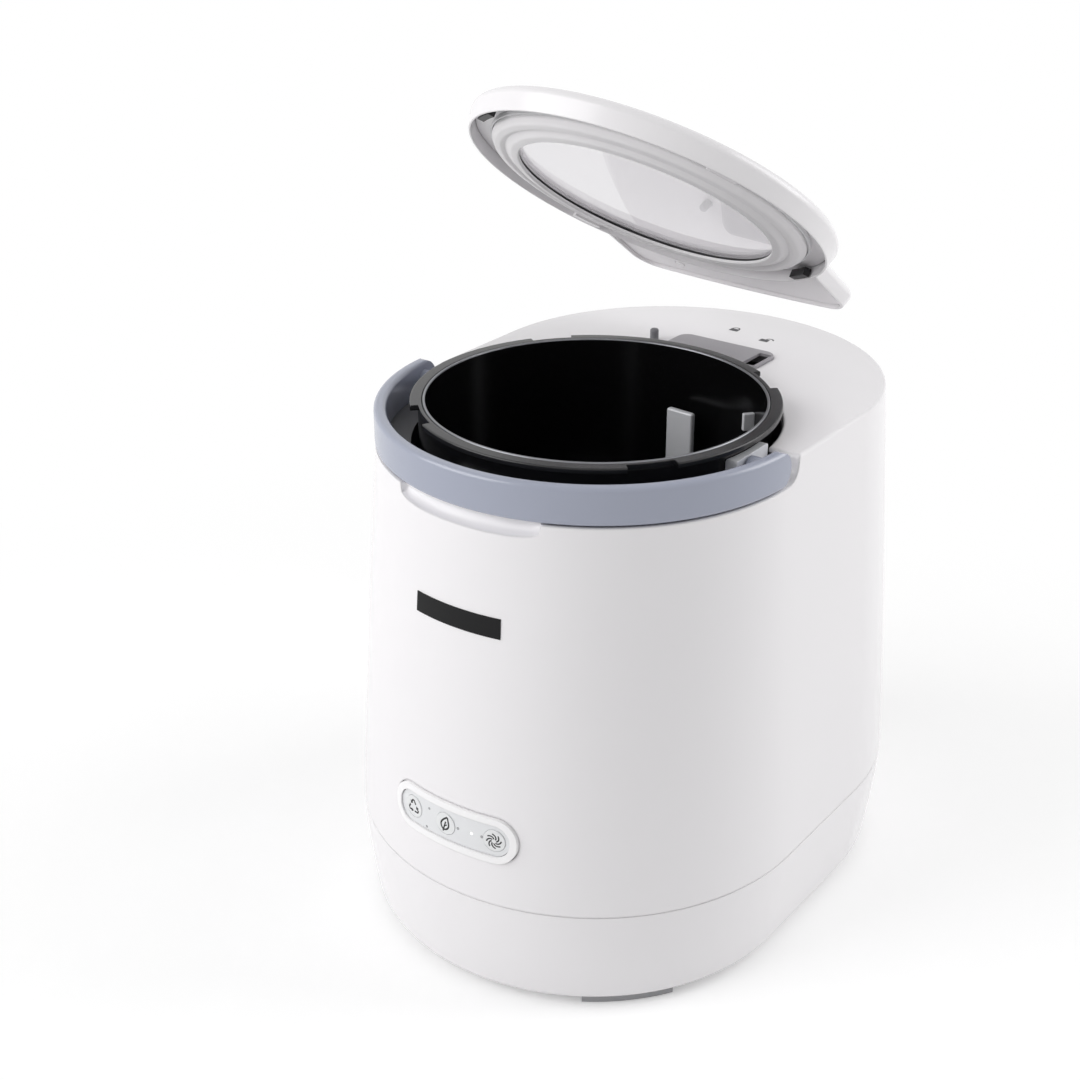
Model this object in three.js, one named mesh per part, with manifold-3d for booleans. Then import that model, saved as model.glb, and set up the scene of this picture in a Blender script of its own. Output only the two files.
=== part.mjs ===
import * as THREE from 'three';
import { mergeVertices } from 'three/addons/utils/BufferGeometryUtils.js';
import Module from 'manifold-3d';

// Electric food waste composter, in millimetres, Z up, front towards -Y.
// The origin lies on the floor under the middle of the body.

const wasm = await Module();
wasm.setup();

const fullDegrees = 360;
const halfDegrees = fullDegrees / 2;
const rearward = halfDegrees / 2;
const frontward = -rearward;
const degree = Math.PI / halfDegrees;
const quarterTurn = Math.PI / 2;

// Facet counts
const bodySteps = 12;
const roundSteps = 24;
const middleSteps = 12;
const smallSteps = 8;
const cornerSteps = 2;
const edgeSteps = 2;
const arcSteps = 2;
const slotSteps = 1;
const sectorStep = 20;

// Clearances
const seat = 0.3;
const over = 2;
const seamGap = 0.3;
const weldDistance = 1e-4;

// Body
const rimHeight = 312;
const endSpacing = 83.4;
const topRadius = 118.6;
const widestRadius = 134.8;
const baseRadius = 128;
const deckDrop = 10;
const seamHeight = 66;
const footHeight = 5;
const wall = 3;
const deckThickness = 3;
const panFloor = 3;
const deckEdge = 1.6;
const panEdge = 5;
const flarePower = 1.17;
const taperPower = 1.45;
const bodyRingShares = [0, 0.34, 0.67, 1];
const panRingShares = [0, 0.5, 1];

// Handle
const handleRadius = 120;
const handleThickness = 6.8;
const handleDrop = 2.3;
const handleBand = 20.7;
const handleSeat = 0.9;
const handleEdge = 1.6;
const pivotSetback = 9;
const pivotPinRadius = 2.9;
const pivotBossRadius = 5.4;
const pivotPinDepth = 3.4;
const pivotGap = 1.2;

// Handle notch and finger scoop of the body
const notchReach = 12;
const notchFillet = 11.5;
const notchEdge = 3;
const scoopHalfAngle = 22 * degree;
const scoopWallAngle = 1.5 * degree;
const scoopDepth = 6.5;
const scoopHeight = 8;
const scoopWall = 2.6;
const scoopSteps = 10;
const scoopEndShare = 0.1;
const scoopPower = 4;

// Bucket
const bucketRadius = 92.2;
const potWall = 1.6;
const potFloor = 3;
const potBaseTaper = 3.6;
const potCornerWidth = 8;
const potCornerHeight = 10;
const potBossRadius = 16;
const potBossTaper = 3;
const potBossRise = 20;
const bushWall = 2.9;
const bushFlange = 12;
const bushFlangeHeight = 1.5;
const collarWall = 2.1;
const collarHeight = 21.7;
const collarDrop = 0.3;
const flangeReach = 4.5;
const collarFlangeThickness = 3;
const notchAngles = [-130, -37, 51, 140.5];
const notchHalfAngles = [7, 8, 7.5, 7.7];
const bracketReach = 4.4;
const bracketFront = 21;
const bracketRear = 11;
const bracketDrop = 7.2;
const bracketChamfer = 6;
const bracketGap = 2;
const fixedBladeAngles = [140, -40];
const fixedBladeReach = 7;
const fixedBladeDrop = 19;
const fixedBladeHeight = 10;
const fixedBladeThickness = 3;

// Well
const wellGap = 4.3;
const linerWall = 2;
const linerFloorHeight = 140;
const linerFloorGap = 6;
const linerHoleRadius = 24;
const linerPostRadius = 5;
const linerPostReach = 30;
const deckHoleClearance = 0.5;
const flangeThickness = 2.4;
const heaterInset = 4.2;
const heaterThickness = 5.3;
const heaterHoleRadius = 20.5;
const heaterRestWidth = 4;
const elementInset = 26;
const elementTube = 2.7;

// Stirrer and coupling
const shaftRadius = 5.5;
const hubClearance = 2.2;
const hubWall = 2.5;
const hubRise = 22.4;
const hubNose = 8;
const hubSocket = 15;
const bladeWallGap = 6.6;
const bladeFloorGap = 2.4;
const barHeight = 9;
const barThickness = 6;
const tallArmAngles = [176, -4];
const tallArmWidth = 18;
const tallArmThickness = 4;
const tallArmTopDrop = 33;
const lowBladeAngles = [86, -94];
const lowBladeHeight = 27;
const lowBladeThickness = 3;
const lowBladeLean = 25 * degree;
const dogRadius = 15;
const dogPlate = 2.6;
const dogReach = 4;
const dogCount = 3;
const dogHalfAngle = 20;
const driveShaftRadius = 5.8;
const dogInner = 7;
const dogGap = 0.6;
const sealRadius = 12.5;
const sealHeight = 1.8;

// Gear train
const slowModule = 3;
const fastModule = 2.5;
const driveTeeth = 24;
const middlePinionTeeth = 8;
const middleTeeth = 24;
const motorPinionTeeth = 8;
const toothTipShares = 0.9;
const toothRootShares = 1.2;
const tipHalfShares = 0.1;
const rootHalfShares = 0.29;
const gearBoreClearance = 0.3;
const plateThickness = 3;
const plateGap = 36;
const plateHalfWidth = 44;
const plateFrontReach = 44;
const plateRearReach = 30;
const plateCorner = 12;
const pillarRadius = 5;
const pillarInset = 9;
const driveGearRise = 5;
const driveGearFace = 12;
const webInner = 11;
const webOuter = 29;
const webDepth = 5;
const layerGap = 3;
const middleGearFace = 10;
const gearPinRadius = 3;
const bearingRadius = 12;
const bearingWidth = 6;
const motorRadius = 27;
const motorHeight = 54;
const motorShaftRadius = 3;
const motorShaftGrip = 14;

// Deck insert, sensor pin and its switch holder
const insertLeft = -29;
const insertRight = 36;
const insertFront = 106;
const insertRear = 137;
const insertCorner = 7;
const insertRise = 2;
const insertSkirt = 3;
const insertWall = 2;
const slotInset = 1.2;
const slotWidth = 8;
const slotFrontInset = 4;
const slotRearInset = 5.5;
const slotCorner = 1;
const pinX = -39;
const pinY = 119;
const pinRadius = 2.6;
const pinRise = 7.2;
const pinFlange = 4.4;
const pinFlangeThickness = 1.6;
const pinLength = 17;
const holderHalf = 7;
const holderHeight = 24;
const holderBore = 5;

// Control panel
const panelHeight = 106.8;
const panelHalfLength = 41.3;
const panelHalfHeight = 13.6;
const bezelWidth = 4;
const bezelProud = 1.6;
const bezelLip = 1.5;
const facePostX = [-14.5, 13];
const facePostRadius = 2;
const faceProud = 0.5;
const keyAngles = [-11.5, -1.1, 12.2];
const keyRadius = 6.5;
const keyClearance = 0.35;
const keyProud = 1.1;
const keyDome = 0.4;
const keyEdge = 0.5;
const keyTravel = 0.6;
const keyFlange = 1.3;
const keyFlangeThickness = 1.2;
const keyFlangeDepth = 1.4;
const keyStem = 2;
const boardSetback = 17;
const boardHalfWidth = 38;
const boardHalfHeight = 12;
const boardThickness = 1.6;
const switchRadius = 3;
const switchHeight = 4;

// Filter bay and drawer
const bayFront = 68;
const bayWall = 2;
const doorHalfWidth = 52;
const doorBottom = 145;
const doorTop = 227;
const doorCorner = 8;
const doorGap = 0.6;
const louvreCount = 5;
const louvreHalfWidth = 36;
const louvreHeight = 3.4;
const louvrePitch = 9.5;
const louvreRise = 13;
const pullHalfWidth = 20;
const pullDrop = 15;
const pullHeight = 9;
const pullDepth = 5;
const trayWall = 2;
const trayClearance = 3;
const trayLip = 8;
const drawerStop = 10;
const carbonDepth = 24;
const carbonRise = 62;
const carbonHoleRadius = 5;
const carbonColumns = [-1, 0, 1];
const carbonRows = [-1, 0, 1];
const carbonHolePitch = 20;
const elementSides = 4;

// Fan
const fanX = 0;
const fanY = 112;
const fanRadius = 30;
const voluteClearance = 3;
const voluteGrowth = 9;
const voluteWall = 2;
const voluteHeight = 29;
const chamberWidth = 22;
const chamberLength = 34;
const chamberSlot = 13;
const inletRadius = 20;
const impellerRise = 4.5;
const impellerPlate = 2;
const impellerHeight = 20;
const impellerHub = 15;
const hubShell = 2;
const hubHeight = 14;
const bladeCount = 9;
const bladeLength = 12;
const bladeThickness = 1.6;
const bladeLean = 35 * degree;
const fanMotorRadius = 12;
const fanMotorHeight = 9;
const fanShaftRadius = 1.6;
const ductWall = 2;
const spiralSteps = 16;
const ductSteps = 12;
const ductRings = 3;
const ductHalfX = 28;
const ductHalfY = 11;
const ductTopX = 3;
const ductTopY = 80;

// Base
const footInset = 4;
const footWidth = 20;
const footHalfAngle = 12;
const tongueHeight = 6;
const tongueThickness = 2;
const footAngles = [45, 135, 225, 315];
const socketHalfWidth = 15;
const socketHalfHeight = 11.5;
const socketHeight = 38;
const socketLength = 24;
const socketCorner = 3;
const socketFlange = 2.2;
const socketFlangeThickness = 1.8;
const socketWall = 3;
const socketRecessDepth = 17;
const socketPinWidth = 4;
const socketPinThickness = 2;
const socketPinPitch = 7;
const socketPinReach = 9;
const socketPinRise = 3;
const socketPins = [[-1, -1], [0, 1], [1, -1]];
const ventCount = 5;
const ventLength = 44;
const ventWidth = 3;
const ventPitch = 11;
const ventInset = 66;
const powerBoardInset = 54;
const powerBoardY = 62;
const powerBoardHalfX = 26;
const powerBoardHalfY = 44;
const powerBoardRise = 14;
const powerBoardRail = 4;
const powerPartShares = [[0.3, 0.25], [0.72, 0.3], [0.45, 0.62]];
const powerPartSizes = [[8, 22], [6, 15], [9, 18]];

// Lid, in its own frame: origin on the axis, in the plane of the skirt's edge
const lidOverlap = 6.5;
const lidSkirtClearance = 0.6;
const lidSkirtWall = 1.2;
const lidDraft = 2.5;
const lidHeight = 13.8;
const lidShoulder = 9;
const lidTopPlate = 2.4;
const lidAxisShares = [-1, 0.0457, -0.0215];
const lidTilt = 35.81;
const lidHingeY = 182.3;
const lidHingeDrop = 24.8;
const windowRadius = 78.8;
const windowThickness = 3;
const windowLedge = -0.9;
const funnelSpread = 5.2;
const funnelLedge = 1.3;
const funnelWall = 2.2;
const gasketInset = 0.8;
const gasketWidth = 5;
const gasketThickness = 1.1;
const lipReach = 0.5;
const lipDrop = 2.9;
const lipWidth = 4.7;
const swellDrop = 2.3;
const swellReach = 1;
const creaseReach = 2.4;
const creaseDrop = 0.7;
const bandReach = 4.6;
const bandDrop = 1.2;
const plugClearance = 2.2;
const plugEdge = 2.5;
const plugBandDrop = 0.5;
const panelWall = 2;
const lidSealReach = 1.4;
const lidSealHeight = 2.7;
const tailHalfWidth = 74.8;
const tailReach = 137;
const tailRearRadius = 600;
const tailCorner = 18;
const tailWall = 1.8;
const tailLift = 2.3;
const tailDraft = 2;
const tailSink = 2;
const tailFillet = 14;
const tailOverlapAngle = 5 * degree;
const lidLugHalfAngle = 5;
const lidLugHeight = 2.2;
const lidLugClearance = 0.5;
const lidLugAngles = [51, -130];
const clipAngles = [-37, 140.5];
const clipHeight = 4.5;
const clipGap = 0.9;
const hookRadius = 3;

// Sizes that follow from the ones above
const bucketY = -endSpacing / 2;
const rearY = endSpacing / 2;
const potOuter = bucketRadius + potWall;
const collarInner = potOuter + seat;
const collarOuter = collarInner + collarWall;
const flangeRadius = collarOuter + flangeReach;
const collarTop = rimHeight - collarDrop;
const bracketFace = collarOuter + bracketReach;
const pivotPinInner = bracketFace - pivotPinDepth;
const bodyFar = 2 * widestRadius + endSpacing;
const deckHeight = rimHeight - deckDrop;
const deckUnderside = deckHeight - deckThickness;
const handleTop = rimHeight - handleDrop;
const handleBottom = handleTop - handleBand;
const handleMiddle = handleTop - handleBand / 2;
const frontRim = handleBottom - handleSeat;
const ribUnderside = frontRim - wall;
const notchY = bucketY + notchReach;
const topPlateHeight = linerFloorHeight - linerFloorGap - plateThickness;
const basePlateHeight = topPlateHeight - plateGap - plateThickness;
const driveGearHeight = basePlateHeight + plateThickness + driveGearRise;
const middleGearHeight = driveGearHeight + driveGearFace + layerGap;
const middleY = bucketY + (slowModule * (driveTeeth + middlePinionTeeth)) / 2;
const motorY = middleY + (fastModule * (middleTeeth + motorPinionTeeth)) / 2;
const wellRadius = collarOuter + wellGap;
const linerOuter = wellRadius + linerWall;
const linerFloorTop = linerFloorHeight + linerWall;
const heaterRadius = potOuter - potBaseTaper - heaterInset;
const elementRadius = heaterRadius - elementInset;
const elementHeight = linerFloorTop + seat + elementTube;
const heaterBottom = elementHeight + elementTube + seat;
const potBaseHeight = heaterBottom + heaterThickness + seat;
const potInside = potBaseHeight + potFloor;
const potBossTop = potInside + potBossRise;
const hubTop = potBossTop + hubRise;
const bladeReach = bucketRadius - potBaseTaper - bladeWallGap;
const drivenDogTop = potBaseHeight - seat;
const drivenDogPlate = drivenDogTop - dogPlate;
const driveDogTop = drivenDogPlate - dogGap;
const louvreBottom = doorBottom + louvreRise;
const pullBottom = doorTop - pullDrop;
const footOuter = baseRadius - footInset;
const footInner = footOuter - footWidth;
const ventX = baseRadius - ventInset;
const powerBoardX = powerBoardInset - baseRadius;
const lidSkirtInner = flangeRadius + lidSkirtClearance;
const lidSkirtOuter = lidSkirtInner + lidSkirtWall;
const lidRadius = lidSkirtOuter + lidDraft;
const lidRoof = lidOverlap + seat;
const lidCeiling = lidHeight - lidTopPlate;
const lidLugInner = collarOuter + lidLugClearance;
const windowTopRadius = windowRadius + funnelSpread;
const funnelFoot = windowRadius - funnelLedge;
const gasketOuter = windowRadius - gasketInset;
const gasketInner = gasketOuter - gasketWidth;
const gasketBottom = windowLedge + seat;
const windowBottom = gasketBottom + gasketThickness + seat;
const windowTop = windowBottom + windowThickness;
const lipRadius = gasketInner - lipReach;
const swellOuter = windowRadius + swellReach;
const creaseRadius = windowRadius + creaseReach;
const bandInner = windowRadius + bandReach;
const plugRadius = bucketRadius - plugClearance;
const hookBottom = deckHeight + pinRise + seat - (rimHeight - lidOverlap);

// Finishes
const finish = (color, roughness, metalness = 0) =>
  new THREE.MeshStandardMaterial({ color, roughness, metalness });
const whiteGloss = finish('#efeef0', 0.3);
const whiteSatin = finish('#e6e5e8', 0.45);
const bluishGrey = finish('#a9adbd', 0.4);
const midGrey = finish('#8b8b90', 0.55);
const darkGrey = finish('#3b3b3e', 0.5);
const blackCoat = finish('#0c0c0d', 0.35, 0.2);
const blackPlastic = finish('#151517', 0.5);
const silverPaint = finish('#c9c9cc', 0.35, 0.3);
const steel = finish('#b8babd', 0.3, 1);
const aluminium = finish('#c4c6c8', 0.4, 1);
const bronze = finish('#a8783f', 0.4, 1);
const rubberGrey = finish('#c8c8cb', 0.8);
const siliconeWhite = finish('#dcdcde', 0.7);
const greenBoard = finish('#1f5b3a', 0.6);
const carbonBlack = finish('#232323', 0.95);
const nylonWhite = finish('#e4e0d6', 0.5);
const clearGlass = new THREE.MeshStandardMaterial({
  color: '#dfe6e8',
  roughness: 0.05,
  transparent: true,
  opacity: 0.35,
});

// A solid for boolean work from any closed geometry, turned to face outwards
function solidOf(shape) {
  if (shape instanceof wasm.Manifold) return shape;
  const bare = shape.clone();
  bare.deleteAttribute('normal');
  bare.deleteAttribute('uv');
  const merged = mergeVertices(bare, weldDistance);
  const corners = merged.attributes.position;
  const source = merged.index.array;
  const kept = [];
  const a = new THREE.Vector3();
  const b = new THREE.Vector3();
  const c = new THREE.Vector3();
  let volume = 0;
  for (let i = 0; i < source.length; i += 3) {
    const [p, q, r] = [source[i], source[i + 1], source[i + 2]];
    if (p === q || q === r || r === p) continue;
    kept.push(p, q, r);
    a.fromBufferAttribute(corners, p);
    b.fromBufferAttribute(corners, q);
    c.fromBufferAttribute(corners, r);
    volume += a.dot(b.cross(c));
  }
  if (volume < 0) kept.reverse();
  const vertProperties = new Float32Array(corners.array);
  const triVerts = new Uint32Array(kept);
  return new wasm.Manifold(new wasm.Mesh({ numProp: 3, vertProperties, triVerts }));
}

function geometryOf(shape) {
  const mesh = solidOf(shape).getMesh();
  const geometry = new THREE.BufferGeometry();
  geometry.setAttribute('position', new THREE.BufferAttribute(mesh.vertProperties, 3));
  geometry.setIndex(new THREE.BufferAttribute(mesh.triVerts, 1));
  const flat = geometry.toNonIndexed();
  flat.computeVertexNormals();
  return flat;
}

const join = (...shapes) => shapes.map(solidOf).reduce((whole, next) => whole.add(next));
const cut = (base, ...tools) =>
  tools.map(solidOf).reduce((left, tool) => left.subtract(tool), solidOf(base));
const common = (...shapes) => shapes.map(solidOf).reduce((left, next) => left.intersect(next));

// Adds one named piece to a group
function addPiece(group, name, shape, material) {
  const mesh = new THREE.Mesh(geometryOf(shape), material);
  mesh.name = name;
  group.add(mesh);
  return mesh;
}

// A closed solid through loops of points, with a flat cap at each end
function loft(loops) {
  const count = loops[0].length;
  const positions = loops.flat().flatMap((point) => point.toArray());
  const index = [];
  for (let ring = 0; ring + 1 < loops.length; ring += 1) {
    for (let i = 0; i < count; i += 1) {
      const a = ring * count + i;
      const b = ring * count + ((i + 1) % count);
      index.push(a, b, b + count, a, b + count, a + count);
    }
  }
  for (const ring of [0, loops.length - 1]) {
    const middle = new THREE.Vector3();
    loops[ring].forEach((point) => middle.addScaledVector(point, 1 / count));
    const centre = positions.length / 3;
    positions.push(...middle.toArray());
    for (let i = 0; i < count; i += 1) {
      const a = ring * count + i;
      const b = ring * count + ((i + 1) % count);
      if (ring === 0) index.push(centre, b, a);
      else index.push(centre, a, b);
    }
  }
  const geometry = new THREE.BufferGeometry();
  geometry.setAttribute('position', new THREE.Float32BufferAttribute(positions, 3));
  geometry.setIndex(index);
  return geometry;
}

// A turned solid from [radius, height] corners, closed on itself or on the axis
function revolve(corners, steps = roundSteps) {
  const profile = corners.map(([radius, height]) => new THREE.Vector2(radius, height));
  const closed = corners[0][0] > 0 || corners[corners.length - 1][0] > 0;
  if (closed) profile.push(profile[0].clone());
  return new THREE.LatheGeometry(profile, steps).rotateX(quarterTurn);
}

const ring = (inner, outer, bottom, top, steps = roundSteps) =>
  revolve([[inner, bottom], [outer, bottom], [outer, top], [inner, top]], steps);
const disc = (radius, bottom, top, steps = middleSteps) =>
  revolve([[0, bottom], [radius, bottom], [radius, top], [0, top]], steps);

// A prism of an outline along Z, X or Y between two planes
function prismZ(shape, bottom, top, curveSegments = arcSteps) {
  const options = { depth: top - bottom, bevelEnabled: false, curveSegments };
  return new THREE.ExtrudeGeometry(shape, options).translate(0, 0, bottom);
}

function prismX(shape, from, to, curveSegments = arcSteps) {
  const turn = new THREE.Matrix4().makeBasis(
    new THREE.Vector3(0, 1, 0),
    new THREE.Vector3(0, 0, 1),
    new THREE.Vector3(1, 0, 0),
  );
  return prismZ(shape, from, to, curveSegments).applyMatrix4(turn);
}

function prismY(shape, from, to, curveSegments = arcSteps) {
  const turn = new THREE.Matrix4().makeBasis(
    new THREE.Vector3(1, 0, 0),
    new THREE.Vector3(0, 0, 1),
    new THREE.Vector3(0, -1, 0),
  );
  return prismZ(shape, -to, -from, curveSegments).applyMatrix4(turn);
}

function box(left, right, front, rear, bottom, top) {
  const size = [right - left, rear - front, top - bottom];
  const middle = [(left + right) / 2, (front + rear) / 2, (bottom + top) / 2];
  return new THREE.BoxGeometry(...size).translate(...middle);
}

const rodZ = (radius, x, y, bottom, top, steps = smallSteps) =>
  disc(radius, bottom, top, steps).translate(x, y, 0);
const rodX = (radius, from, to, y, z, steps = smallSteps) =>
  disc(radius, from, to, steps).rotateY(quarterTurn).translate(0, y, z);
const rodY = (radius, from, to, x, z, steps = smallSteps) =>
  disc(radius, -to, -from, steps).rotateX(quarterTurn).translate(x, 0, z);

// A rectangle with round corners, or a pill where the corner is half the height
function roundedShape(left, right, low, high, corner) {
  const shape = new THREE.Shape();
  shape.moveTo(left + corner, low);
  shape.lineTo(right - corner, low);
  shape.absarc(right - corner, low + corner, corner, -quarterTurn, 0, false);
  shape.lineTo(right, high - corner);
  shape.absarc(right - corner, high - corner, corner, 0, quarterTurn, false);
  shape.lineTo(left + corner, high);
  shape.absarc(left + corner, high - corner, corner, quarterTurn, 2 * quarterTurn, false);
  shape.lineTo(left, low + corner);
  shape.absarc(left + corner, low + corner, corner, 2 * quarterTurn, 3 * quarterTurn, false);
  return shape;
}

// A piece of a ring about the Z axis; angles are in degrees from the front, positive towards +X
function sector(inner, outer, fromAngle, toAngle, bottom, top) {
  const start = fromAngle * degree - quarterTurn;
  const end = toAngle * degree - quarterTurn;
  const shape = new THREE.Shape();
  shape.absarc(0, 0, outer, start, end, false);
  shape.absarc(0, 0, inner, end, start, true);
  shape.closePath();
  return prismZ(shape, bottom, top, Math.ceil((toAngle - fromAngle) / sectorStep));
}

const atAngle = (geometry, angle) => geometry.rotateZ(angle * degree);

// The body is narrowest at the deck, widest at the seam and drawn in again at the floor
function bodyRadius(height) {
  if (height > seamHeight) {
    const rise = (height - seamHeight) / (deckHeight - seamHeight);
    return widestRadius - (widestRadius - topRadius) * rise ** flarePower;
  }
  const fall = Math.min(1, (seamHeight - height) / (seamHeight - footHeight));
  return widestRadius - (widestRadius - baseRadius) * fall ** taperPower;
}

// The plan is two half circles joined by straight sides
function bodyLoop(height, inset = 0) {
  const radius = bodyRadius(height) - inset;
  const loop = [];
  for (const end of [-1, 1]) {
    for (let step = 0; step <= bodySteps; step += 1) {
      const angle = (Math.PI * step) / bodySteps + (end < 0 ? Math.PI : 0);
      const centre = (end * endSpacing) / 2;
      const x = radius * Math.cos(angle);
      const y = centre + radius * Math.sin(angle);
      loop.push(new THREE.Vector3(x, y, height));
    }
  }
  return loop;
}

const seamTop = seamHeight + seamGap / 2;
const seamBottom = seamHeight - seamGap / 2;
const bodyRings = bodyRingShares.map(
  (share) => seamTop + share * (deckHeight - deckEdge - seamTop),
);
const bodyBlock = (inset) => loft(bodyRings.map((height) => bodyLoop(height, inset)));
const bodyLayer = (outer, inner) => cut(bodyBlock(outer), bodyBlock(inner));

// The cut that leaves room for the handle: floor, round inner corner, wall and soft deck edge
function handleNotch() {
  const shape = new THREE.Shape();
  shape.moveTo(-bodyFar, frontRim);
  shape.lineTo(notchY - notchFillet, frontRim);
  shape.absarc(notchY - notchFillet, frontRim + notchFillet, notchFillet, -quarterTurn, 0, false);
  shape.lineTo(notchY, deckHeight - notchEdge);
  shape.absarc(notchY + notchEdge, deckHeight - notchEdge, notchEdge, Math.PI, quarterTurn, true);
  shape.lineTo(notchY + notchEdge, deckHeight + over);
  shape.lineTo(-bodyFar, deckHeight + over);
  return prismX(shape, -bodyFar, bodyFar);
}

// A lens swept round the front rim, closing quickly at both ends
function scoopLens(depth, height, halfAngle) {
  const radius = bodyRadius(frontRim);
  const loops = [];
  for (let step = 0; step <= scoopSteps; step += 1) {
    const share = (2 * step) / scoopSteps - 1;
    const swell = Math.max(scoopEndShare, (1 - share ** scoopPower) ** (1 / scoopPower));
    const angle = share * halfAngle;
    const loop = [];
    for (let turn = 0; turn < smallSteps; turn += 1) {
      const around = (2 * Math.PI * turn) / smallSteps;
      const reach = radius + depth * swell * Math.cos(around);
      const lift = height * swell * Math.sin(around);
      const x = reach * Math.sin(angle);
      const y = bucketY - reach * Math.cos(angle);
      loop.push(new THREE.Vector3(x, y, frontRim + lift));
    }
    loops.push(loop);
  }
  return loft(loops);
}

function panelPill(inset) {
  const high = panelHalfHeight - inset;
  const shape = roundedShape(inset - panelHalfLength, panelHalfLength - inset, -high, high, high);
  return prismY(shape, -bodyFar, bucketY).translate(0, 0, panelHeight);
}

function doorBlock(inset) {
  const half = doorHalfWidth - inset;
  const shape = roundedShape(-half, half, doorBottom + inset, doorTop - inset, doorCorner - inset);
  return prismY(shape, rearY, bodyFar);
}

function insertBlock(inset, bottom, top) {
  const shape = roundedShape(
    insertLeft + inset,
    insertRight - inset,
    insertFront + inset,
    insertRear - inset,
    insertCorner - inset,
  );
  return prismZ(shape, bottom, top).translate(0, bucketY, 0);
}

function bracketPocket(side) {
  const near = side * collarOuter;
  const far = side * (bracketFace + bracketGap);
  const front = bucketY - bracketFront - bracketGap;
  const rear = bucketY + bracketRear + bracketGap;
  const [left, right] = [Math.min(near, far), Math.max(near, far)];
  return box(left, right, front, rear, frontRim, deckHeight + over);
}

// Main housing: one moulding with deck, handle notch, finger scoop and openings
function mainHousing() {
  const top = deckHeight - deckEdge;
  const edge = [];
  for (let step = 1; step <= edgeSteps; step += 1) {
    const angle = (quarterTurn * step) / edgeSteps;
    edge.push(bodyLoop(top + deckEdge * Math.sin(angle), deckEdge * (1 - Math.cos(angle))));
  }
  const outer = loft([...bodyRings.map((height) => bodyLoop(height)), ...edge]);
  const cavityRings = bodyRings.filter((height) => height < deckUnderside);
  const cavity = loft([
    bodyLoop(seamTop - over, wall),
    ...cavityRings.map((height) => bodyLoop(height, wall)),
    bodyLoop(deckUnderside, wall),
  ]);
  const ribFront = notchY - notchFillet - wall;
  const rib = box(-bodyFar, bodyFar, ribFront, notchY + wall, frontRim - wall, deckHeight);
  const bossLens = scoopLens(
    scoopDepth + scoopWall,
    scoopHeight + scoopWall,
    scoopHalfAngle + scoopWallAngle,
  );
  const shell = join(cut(outer, cut(cavity, rib)), common(bossLens, bodyBlock(wall / 2)));
  const wellTop = disc(wellRadius + deckHoleClearance, frontRim, deckHeight + over, roundSteps);
  const wellUnder = disc(linerOuter + seat, ribUnderside - over, deckUnderside, roundSteps);
  return cut(
    shell,
    handleNotch(),
    scoopLens(scoopDepth, scoopHeight, scoopHalfAngle),
    wellTop.translate(0, bucketY, 0),
    wellUnder.translate(0, bucketY, 0),
    bracketPocket(1),
    bracketPocket(-1),
    insertBlock(-seat, deckUnderside - over, deckHeight + over),
    rodZ(pinRadius + seat, pinX, bucketY + pinY, deckUnderside - over, deckHeight + over),
    panelPill(-seat),
    doorBlock(-doorGap),
  );
}

// Loops of the base pan from its floor up, with a round bottom edge
function panLoops(inset, floor, top, edge) {
  const loops = [];
  for (let step = 0; step < edgeSteps; step += 1) {
    const angle = (quarterTurn * step) / edgeSteps;
    const height = floor + edge * (1 - Math.cos(angle));
    loops.push(bodyLoop(height, inset + edge * (1 - Math.sin(angle))));
  }
  for (const share of panRingShares) {
    loops.push(bodyLoop(floor + edge + share * (top - floor - edge), inset));
  }
  return loops;
}

const plateFront = bucketY - plateFrontReach;
const plateRear = motorY + plateRearReach;
const plateCorners = [
  [-plateHalfWidth + pillarInset, plateFront + pillarInset],
  [plateHalfWidth - pillarInset, plateFront + pillarInset],
  [plateHalfWidth - pillarInset, plateRear - pillarInset],
  [-plateHalfWidth + pillarInset, plateRear - pillarInset],
];
const panFloorTop = footHeight + panFloor;
const socketBack = rearY + bodyRadius(socketHeight) + seat;

function socketBlock(extra, from, to) {
  const half = socketHalfWidth + extra;
  const low = socketHeight - socketHalfHeight - extra;
  const high = socketHeight + socketHalfHeight + extra;
  const corner = Math.max(socketCorner + extra, seat);
  return prismY(roundedShape(-half, half, low, high, corner), from, to);
}

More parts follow.
